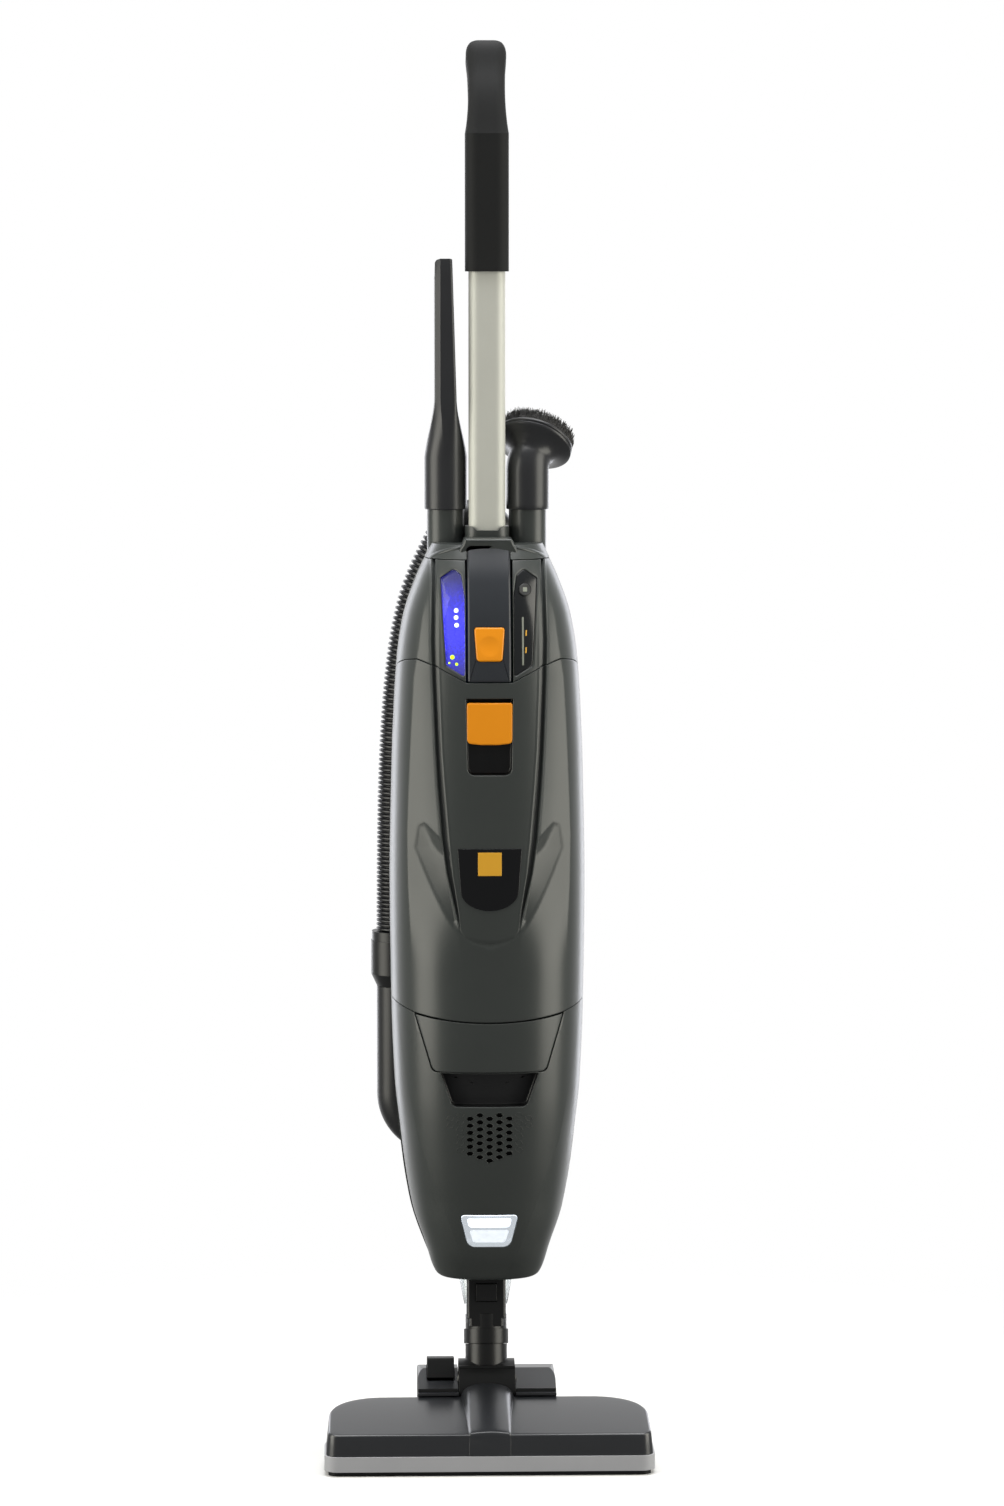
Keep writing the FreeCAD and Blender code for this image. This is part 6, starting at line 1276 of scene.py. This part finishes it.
# Bristle strips under the nozzle, standing in the carriage's two bars
strips = {"half": 123.4, "width": 3.2, "middles": (-82.0, -39.0), "root": 4.0, "length": 2.9,
          "density": 3.4e6}


def makeBrushStrips():
    half, root = strips["half"], strips["root"]
    beds = []
    for middle in strips["middles"]:
        front, rear = middle - strips["width"] / 2, middle + strips["width"] / 2
        beds.append(([(-half, front, root), (-half, rear, root), (half, rear, root), (half, front, root)],
                     [(0, 1, 2, 3)]))
    bed = joinParts("brushStrips", beds)
    growHairs(bed, strips["density"], strips["length"], (0, 0, -1))
    finishPiece(bed, "brush_lift", "bristle", ["brush_strips"])
    print("strips:", len(bed.data.polygons), "faces")


makeBrushStrips()


# Crevice tool: a flat blade with its near left edge cut off, swelling into a round socket.
# Its mouth slopes down to the rear, and further at its left
crevice = {
    "x": -35.0, "y": 10.0, "low": 818.0, "round": 862.0, "blade": 914.0, "top": 1033.0, "width": 14.8,
    "widening": 3.6, "depth": 46.0, "radius": 18.2, "edge": 2.6, "facet": 4.6, "shift": -0.2, "lean": -1.8,
    "wall": 1.7, "mouth": {"high": 1031.6, "y": -13.0, "slope": 0.36, "left": -43.0}, "cornerParts": 14,
}


def creviceRing(z, inset=0.0, top=None):
    c, parts = crevice, crevice["cornerParts"]
    share = float(smoothStep(c["round"], c["blade"], z))
    share = 0.5 * share + 0.5 * share ** 0.6
    narrow = float(np.clip((z - c["blade"]) / (c["top"] - c["blade"]), 0, 1))

    def between(socketSize, bladeSize):
        return socketSize * (1 - share) + bladeSize * share
    half = between(c["radius"] * 2, c["width"] + c["widening"] * (1 - narrow)) / 2 - inset
    deep = between(c["radius"] * 2, c["depth"]) / 2 - inset
    corner, facet = between(c["radius"], c["edge"]), between(c["radius"], c["facet"])
    middleX = c["x"] + (c["shift"] + c["lean"] * narrow) * share
    ring = []
    for sx, sy, start, size in ((1, -1, -90, corner), (1, 1, 0, corner), (-1, 1, 90, corner),
                                (-1, -1, 180, facet)):
        size = min(max(size - inset, 0.4), half - 0.05, deep - 0.05)
        flat = share if start == 180 else 0.0  # the facet is a corner drawn towards its chord
        first, last = radiansOf(start, start + 90)
        for k in range(parts + 1):
            t = k / parts
            a = first + (last - first) * t
            x, y = (f(a) * (1 - flat) + (f(first) * (1 - t) + f(last) * t) * flat
                    for f in (math.cos, math.sin))
            ring.append((middleX + sx * (half - size) + size * x, c["y"] + sy * (deep - size) + size * y, z))
    if top is not None:
        m = c["mouth"]
        ring = [(x, y, min(z, m["high"] - (y - m["y"]) * m["slope"] - max(m["left"] - x, 0)) + top)
                for x, y, z in ring]
    return ring


def makeCreviceTool():
    c = crevice
    heights = [c["low"] + 0.7] + list(np.linspace(c["low"] + 6, c["round"], 6))
    heights += [*np.linspace(c["round"] + 2, c["blade"], 26), *np.linspace(c["blade"] + 4, c["top"] - 18, 16)]
    outer = [creviceRing(c["low"], 0.6)] + [creviceRing(z) for z in heights]
    outer += [creviceRing(c["top"], inset, drop) for inset, drop in ((0, -0.7), (0.2, -0.2), (0.6, 0.0))]
    inner = [creviceRing(c["top"], c["wall"], drop) for drop in (0.0, -2.0)]
    inner += [creviceRing(z, c["wall"]) for z in heights[::-1]]
    tool = solid("creviceTool", outer + inner, closedAlong=True)
    finishPiece(tool, "crevice_tool", "tool_black", ["crevice_tool"], angle=32)
    print("crevice tool:", len(tool.data.polygons), "faces")


makeCreviceTool()


# Raised ridge round the panel's top, over the holder's shoulders, and the cap between its ends

ridge = {
    "points": [(-50.0, 778.6), (-45.0, 781.8), (-38.5, 784.6), (-31.0, 786.8), (-26.5, 787.6),
               (-24.2, 788.6)],
    "width": 1.4, "proud": 1.3, "highest": 789.4,
    "cap": [(-25.6, 780.0), (25.6, 780.0), (24.6, 786.5), (21.8, 790.6), (20.2, 795.4), (-20.2, 795.4),
            (-21.8, 790.6), (-24.6, 786.5)],
    "capRound": [1, 1, 3, 3, 2.4, 2.4, 3, 3], "capZ": 784.0, "capProud": 0.4,
    "capRim": ((0.0, 1.6), (0.3, 0.8), (0.9, 0.25), (1.8, 0.0)), "capDepths": (-30.0, -14.5),
    "panelRoom": (18.7, 770, 18.7, 789.6, 0, 4), "socketHalf": 18.4, "socketFront": -15.8,
}


def makeHolderRidge():
    parts = []
    for side in (-1, 1):
        line = smoothCorners([(side * -x, z) for x, z in ridge["points"]], 2)
        rings = []
        for i, (x, z) in enumerate(line):
            (ax, az), (bx, bz) = line[max(i - 1, 0)], line[min(i + 1, len(line) - 1)]
            length = math.hypot(bx - ax, bz - az)
            nx, nz = -(bz - az) / length * ridge["width"], (bx - ax) / length * ridge["width"]
            ring = []
            for a in fullTurn(12):
                px, pz = x + nx * math.cos(a), min(z + nz * math.cos(a), ridge["highest"])
                ring.append((px, faceY(px, pz) - ridge["proud"] * math.sin(a), pz))
            rings.append(ring)
        parts.append(loft(rings))
    finishPiece(pointOutwards(joinParts("holderRidge", parts)), "housing", "shell_grey")


def makeHolderCap():
    outline = roundedOutline(ridge["cap"], ridge["capRound"], 0.5)
    rings = [[(p.x, faceY(p.x, ridge["capZ"]) - ridge["capProud"] + back, p.y) for p in grow(outline, -cut)]
             for back, cut in ridge["capRim"]]
    cap = solid("holderCap", rings + [flatRing(outline, y) for y in ridge["capDepths"]])
    panelRoom = [flatRing(tapered(*ridge["panelRoom"]), y) for y in (-90, -22)]
    half, front = ridge["socketHalf"], ridge["socketFront"]
    section = ((-half, front), (half, front), (half, 0), (-half, 0))
    socketRoom = [[(x, y, z) for x, y in section] for z in (770, 800)]
    combine(cap, [joinParts("panelRoom", [loft(panelRoom)]), joinParts("socketRoom", [loft(socketRoom)])])
    finishPiece(cap, "housing", "shell_grey")


makeHolderRidge()
makeHolderCap()


# Raised rims round the grille's holes, and of the blind ones at its edges
def rimTree(finish):
    tree, names, sizes = newTree("grilleRims", ("width", "height", "thickness"))
    slot = addNode(tree, "CurvePrimitiveQuadrilateral", {"Width": sizes["width"],
                                                         "Height": sizes["height"]})
    corner = addNode(tree, "Math", {0: sizes["height"]}, {1: 0.499}, operation="MULTIPLY")
    soft = addNode(tree, "FilletCurve", {"Curve": slot, "Radius": corner}, {"Count": 1}, mode="POLY")
    wire = addNode(tree, "CurvePrimitiveCircle", {"Radius": sizes["thickness"]}, {"Resolution": 8})
    rim = addNode(tree, "CurveToMesh", {"Curve": soft, "Profile Curve": wire})
    facing = addNode(tree, "InputNamedAttribute", None, {"Name": "facing"}, data_type="FLOAT_VECTOR")
    turned = addNode(tree, "AlignRotationToVector", {"Vector": facing}, axis="Z")
    placed = addNode(tree, "InstanceOnPoints", {"Points": sizes["Start"], "Instance": rim,
                                                "Rotation": turned})
    endTree(tree, placed, finish)
    return tree, names


def makeGrilleRims():
    places = grillePlaces("open") + grillePlaces("blind")
    rims = meshObject("grilleRims", [(x, faceY(x, z) + grille["rimLift"], z) for x, z in places], [])
    facing = rims.data.attributes.new("facing", "FLOAT_VECTOR", "POINT")
    for value, (x, z) in zip(facing.data, places):
        slopes = faceY(x + 0.5, z) - faceY(x - 0.5, z), faceY(x, z + 0.5) - faceY(x, z - 0.5)
        value.vector = Vector((slopes[0], -1.0, slopes[1])).normalized()
    tree, names = rimTree(finishes["shell_grey"])
    sizes = {"width": grille["width"] + grille["rimGap"], "height": grille["height"] + grille["rimGap"],
             "thickness": grille["rim"]}
    runTree(rims, tree, names, {key: size * mm for key, size in sizes.items()})
    finishPiece(rims, "housing", "shell_grey")
    # foam behind the grille holes, given the near-black rubber finish as painted shade in the holes
    foam = surfacePlate("grilleFoamShade", tapered(30, 262, 30, 309, 3), -5.0, 3.0, 0.4, rings=6)
    finishPiece(foam, "housing", "foam_grey", finish="seal_rubber")  # dark, behind the holes
    print("grille rims:", len(rims.data.polygons), "faces")


makeGrilleRims()


# Exhaust filter: stiff white fleece in pleats, in a dark frame whose broad top rail lies behind the seam, its
# dark also painted shade in the seam's gap
exhaust = {"half": 33.4, "low": 349.9, "high": 393.1, "front": -78.6, "back": -65.3, "side": 3.0,
           "topRail": 9.0, "pleats": 15, "fold": 6.5, "sheet": 2.6, "sunk": 1.2, "held": 0.4}


def makeExhaustFilter():
    e = exhaust
    outline = tapered(e["half"], e["low"], e["half"], e["high"], 2.5)
    rim = ((e["front"], 0.8), (e["front"] + 0.25, 0.25), (e["front"] + 0.8, 0.0), (e["back"], 0.0))
    # a real frame, its black also standing as painted shade seen through the seam
    holder = solid("exhaustFrame", [flatRing(grow(outline, -cut), y) for y, cut in rim])
    half, low, high = e["half"] - e["side"], e["low"] + e["side"], e["high"] - e["topRail"]
    room = tapered(half, low, half, high, 1.5)
    combine(holder, [joinParts("pleatRoom", [loft([flatRing(room, y) for y in (-100, -50)])])])
    finishPiece(holder, "housing", "black_plastic", ["exhaust_filter"])
    half, low, high = half + e["held"], low - e["held"], high + e["held"]  # its edges are held in the frame
    parts = 10 * e["pleats"]
    wave = []
    for k in range(parts + 1):
        fold = 0.5 - 0.5 * math.cos(2 * math.pi * k * e["pleats"] / parts)
        wave.append((2 * half * k / parts - half, e["front"] + e["sunk"] + e["fold"] * fold))
    section = wave + [(x, y + e["sheet"]) for x, y in wave[::-1]]
    fleece = solid("exhaustFleece", [[(x, y, z) for x, y in section] for z in (low, (low + high) / 2, high)])
    finishPiece(fleece, "housing", slotOf["exhaust_filter"])
    print("exhaust filter:", len(fleece.data.polygons), "faces")


makeExhaustFilter()


# Motor filter: a soft fibre pad on the bag chamber's deck. "side" is how far in, at a share of its rise
pad = {"half": 45.4, "front": -46.0, "rear": 22.0, "low": 397.4, "high": 411.0, "corner": 8.0, "crown": 0.07,
       "side": [(4.0, 0.0), (1.6, 0.1), (0.5, 0.25), (0.0, 0.5), (0.4, 0.74), (1.4, 0.87), (3.4, 0.93)],
       "ripple": 0.25, "rippleX": 0.31, "rippleY": 0.27, "rings": 12}


def makeMotorFilter():
    outline = tapered(pad["half"], pad["front"], pad["half"], pad["rear"], pad["corner"], step=1.6)
    middle = sum(outline, Vector((0, 0))) / len(outline)
    rise = pad["high"] - pad["low"]
    rings = [[(p.x, p.y, pad["low"] + rise * share) for p in grow(outline, -cut)]
             for cut, share in pad["side"]]
    top = grow(outline, -pad["side"][-1][0])
    for k in range(1, pad["rings"] + 1):
        share = max(1 - k / pad["rings"], 0.03)
        crown = pad["high"] - rise * pad["crown"] * share ** 4
        ring = []
        for p in top:
            ripple = math.sin(pad["rippleX"] * p.x * share + 0.9) * math.cos(pad["rippleY"] * p.y * share)
            x, y = middle.x + (p.x - middle.x) * share, middle.y + (p.y - middle.y) * share
            ring.append((x, y, crown - pad["ripple"] * (1 + ripple)))
        rings.append(ring)
    piece = solid("motorFilter", rings)
    finishPiece(piece, "housing", slotOf["motor_filter"], ["motor_filter"], angle=60)
    print("motor filter:", len(piece.data.polygons), "faces")


makeMotorFilter()


# Dust bag: a paper pillow, welded round its rim, filled tight by the air
bag = {"rows": 40, "around": 72, "fill": 0.97, "creases": 0.012, "ripples": 0.008}


def makeDustBag():
    low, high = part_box("dust_bag")
    middle = [(low[i] + high[i]) / 2 / mm for i in range(3)]
    size = [(high[i] - low[i]) / 2 / mm for i in range(3)]
    rings = []
    for i in range(1, bag["rows"]):
        v = -1 + 2 * i / bag["rows"]
        reach = (1 - abs(v) ** 6) ** (1 / 4)
        ring = []
        for t in fullTurn(bag["around"]):
            x = math.copysign(abs(math.cos(t)) ** 0.55, math.cos(t))
            y = math.copysign(abs(math.sin(t)) ** 0.8, math.sin(t))
            crease = bag["creases"] * math.sin(9 * t + 5 * v) * (0.4 + abs(v))
            swell = reach * (bag["fill"] + crease + bag["ripples"] * math.sin(23 * v + 3 * t))
            ring.append([m + s * share for m, s, share in zip(middle, size, (x * swell, y * swell, v))])
        rings.append(ring)
    piece = solid("dustBag", rings)
    finishPiece(piece, "housing", slotOf["dust_bag"], ["dust_bag"], angle=60)
    print("dust bag:", len(piece.data.polygons), "faces")


makeDustBag()


# Floor, lights, world. A light has its place, what it is aimed at, width, height, power and colour
studio = {
    "floorHalf": 6.0, "floorShown": "#F2F2F2", "floorBounced": "#6A6A6A", "floorFade": (0.3, 0.85, 1.0, 0.0),
    "reflected": (0.35, 0.75, 0.1, 1.0), "fill": 0.2,
    "lights": {
        "softBoxLeft": ((-1.5, -0.55, 0.85), (0, 0, 0.6), 1.1, 2.0, 27, "#FFFCF0"),
        "softBoxRight": ((1.5, -0.55, 0.85), (0, 0, 0.6), 1.1, 2.0, 27, "#FFFCF0"),
        "rimBoxLeft": ((-0.95, 1.8, 0.8), (0, 0, 0.6), 0.5, 2.0, 9, "#F4F6FF"),
        "rimBoxRight": ((0.95, 1.8, 0.8), (0, 0, 0.6), 0.5, 2.0, 9, "#F4F6FF"),
        "topBox": ((0, 0.1, 2.6), (0, 0, 0.0), 2.0, 1.6, 62, "#FFFFFF"),
    },
}


def makeFloor():
    size = studio["floorHalf"]
    corners = [(-size, -size, 0), (size, -size, 0), (size, size, 0), (-size, size, 0)]
    floor = meshObject("studioFloor", corners, [(0, 1, 2, 3)], 1.0)
    finish, tree, shader, place = newFinish("studioPaper", {"Roughness": 0.9, "Specular IOR Level": 0.1})
    ray = addNode(tree, "LightPath").outputs
    bounced = addNode(tree, "Math", {0: ray["Is Diffuse Ray"], 1: ray["Is Glossy Ray"]},
                      operation="MAXIMUM")
    paper = addNode(tree, "Mix", {"Factor": bounced}, data_type="RGBA")
    setInputs(paper, {"A": linearColour(studio["floorShown"]), "B": linearColour(studio["floorBounced"])})
    tree.links.new(paper.outputs["Result"], shader.inputs["Base Color"])
    away = addNode(tree, "VectorMath", {0: place}, operation="LENGTH")
    fade = addNode(tree, "MapRange", {"Value": away.outputs["Value"]}, mapRange(*studio["floorFade"]),
                   interpolation_type="SMOOTHSTEP")
    tree.links.new(fade.outputs["Result"], shader.inputs["Alpha"])
    floor.data.materials.append(finish)


def makeLights():
    for name, (place, aim, width, height, power, shade) in studio["lights"].items():
        data = bpy.data.lights.new(name, "AREA")
        data.shape = "RECTANGLE"
        data.size, data.size_y, data.energy = width, height, power
        data.color = linearColour(shade)[:3]
        lamp = addObject(name, data)
        lamp.location = place
        lamp.rotation_euler = (Vector(aim) - Vector(place)).to_track_quat("-Z", "Y").to_euler()
        lamp.visible_camera = False


# White where the camera looks and through clear pieces; reflections see white behind the object alone
def makeWorld():
    world = bpy.data.worlds.new("studio")
    bpy.context.scene.world = world
    world.use_nodes = True
    tree = world.node_tree
    tree.nodes.clear()
    ray = addNode(tree, "LightPath").outputs
    place = addNode(tree, "TexCoord")
    parts = addNode(tree, "SeparateXYZ", {"Vector": place.outputs["Generated"]})
    behind = addNode(tree, "MapRange", {"Value": parts.outputs["Y"]}, mapRange(*studio["reflected"]))
    seen = addNode(tree, "Math", {0: ray["Is Camera Ray"], 1: ray["Is Transmission Ray"]},
                   operation="MAXIMUM")
    shiny = addNode(tree, "Math", {0: ray["Is Glossy Ray"], 1: behind}, operation="MULTIPLY")
    white = addNode(tree, "Math", {0: seen, 1: shiny}, operation="MAXIMUM")
    fill = addNode(tree, "Math", {0: white}, {1: studio["fill"]}, operation="MAXIMUM")
    sky = addNode(tree, "Background", {"Strength": fill}, {"Color": (1, 1, 1, 1)})
    addNode(tree, "OutputWorld", {"Surface": sky})
    bpy.context.scene.view_settings.view_transform = "Standard"


makeFloor()
makeLights()
makeWorld()
print("pieces:", len(madePieces))
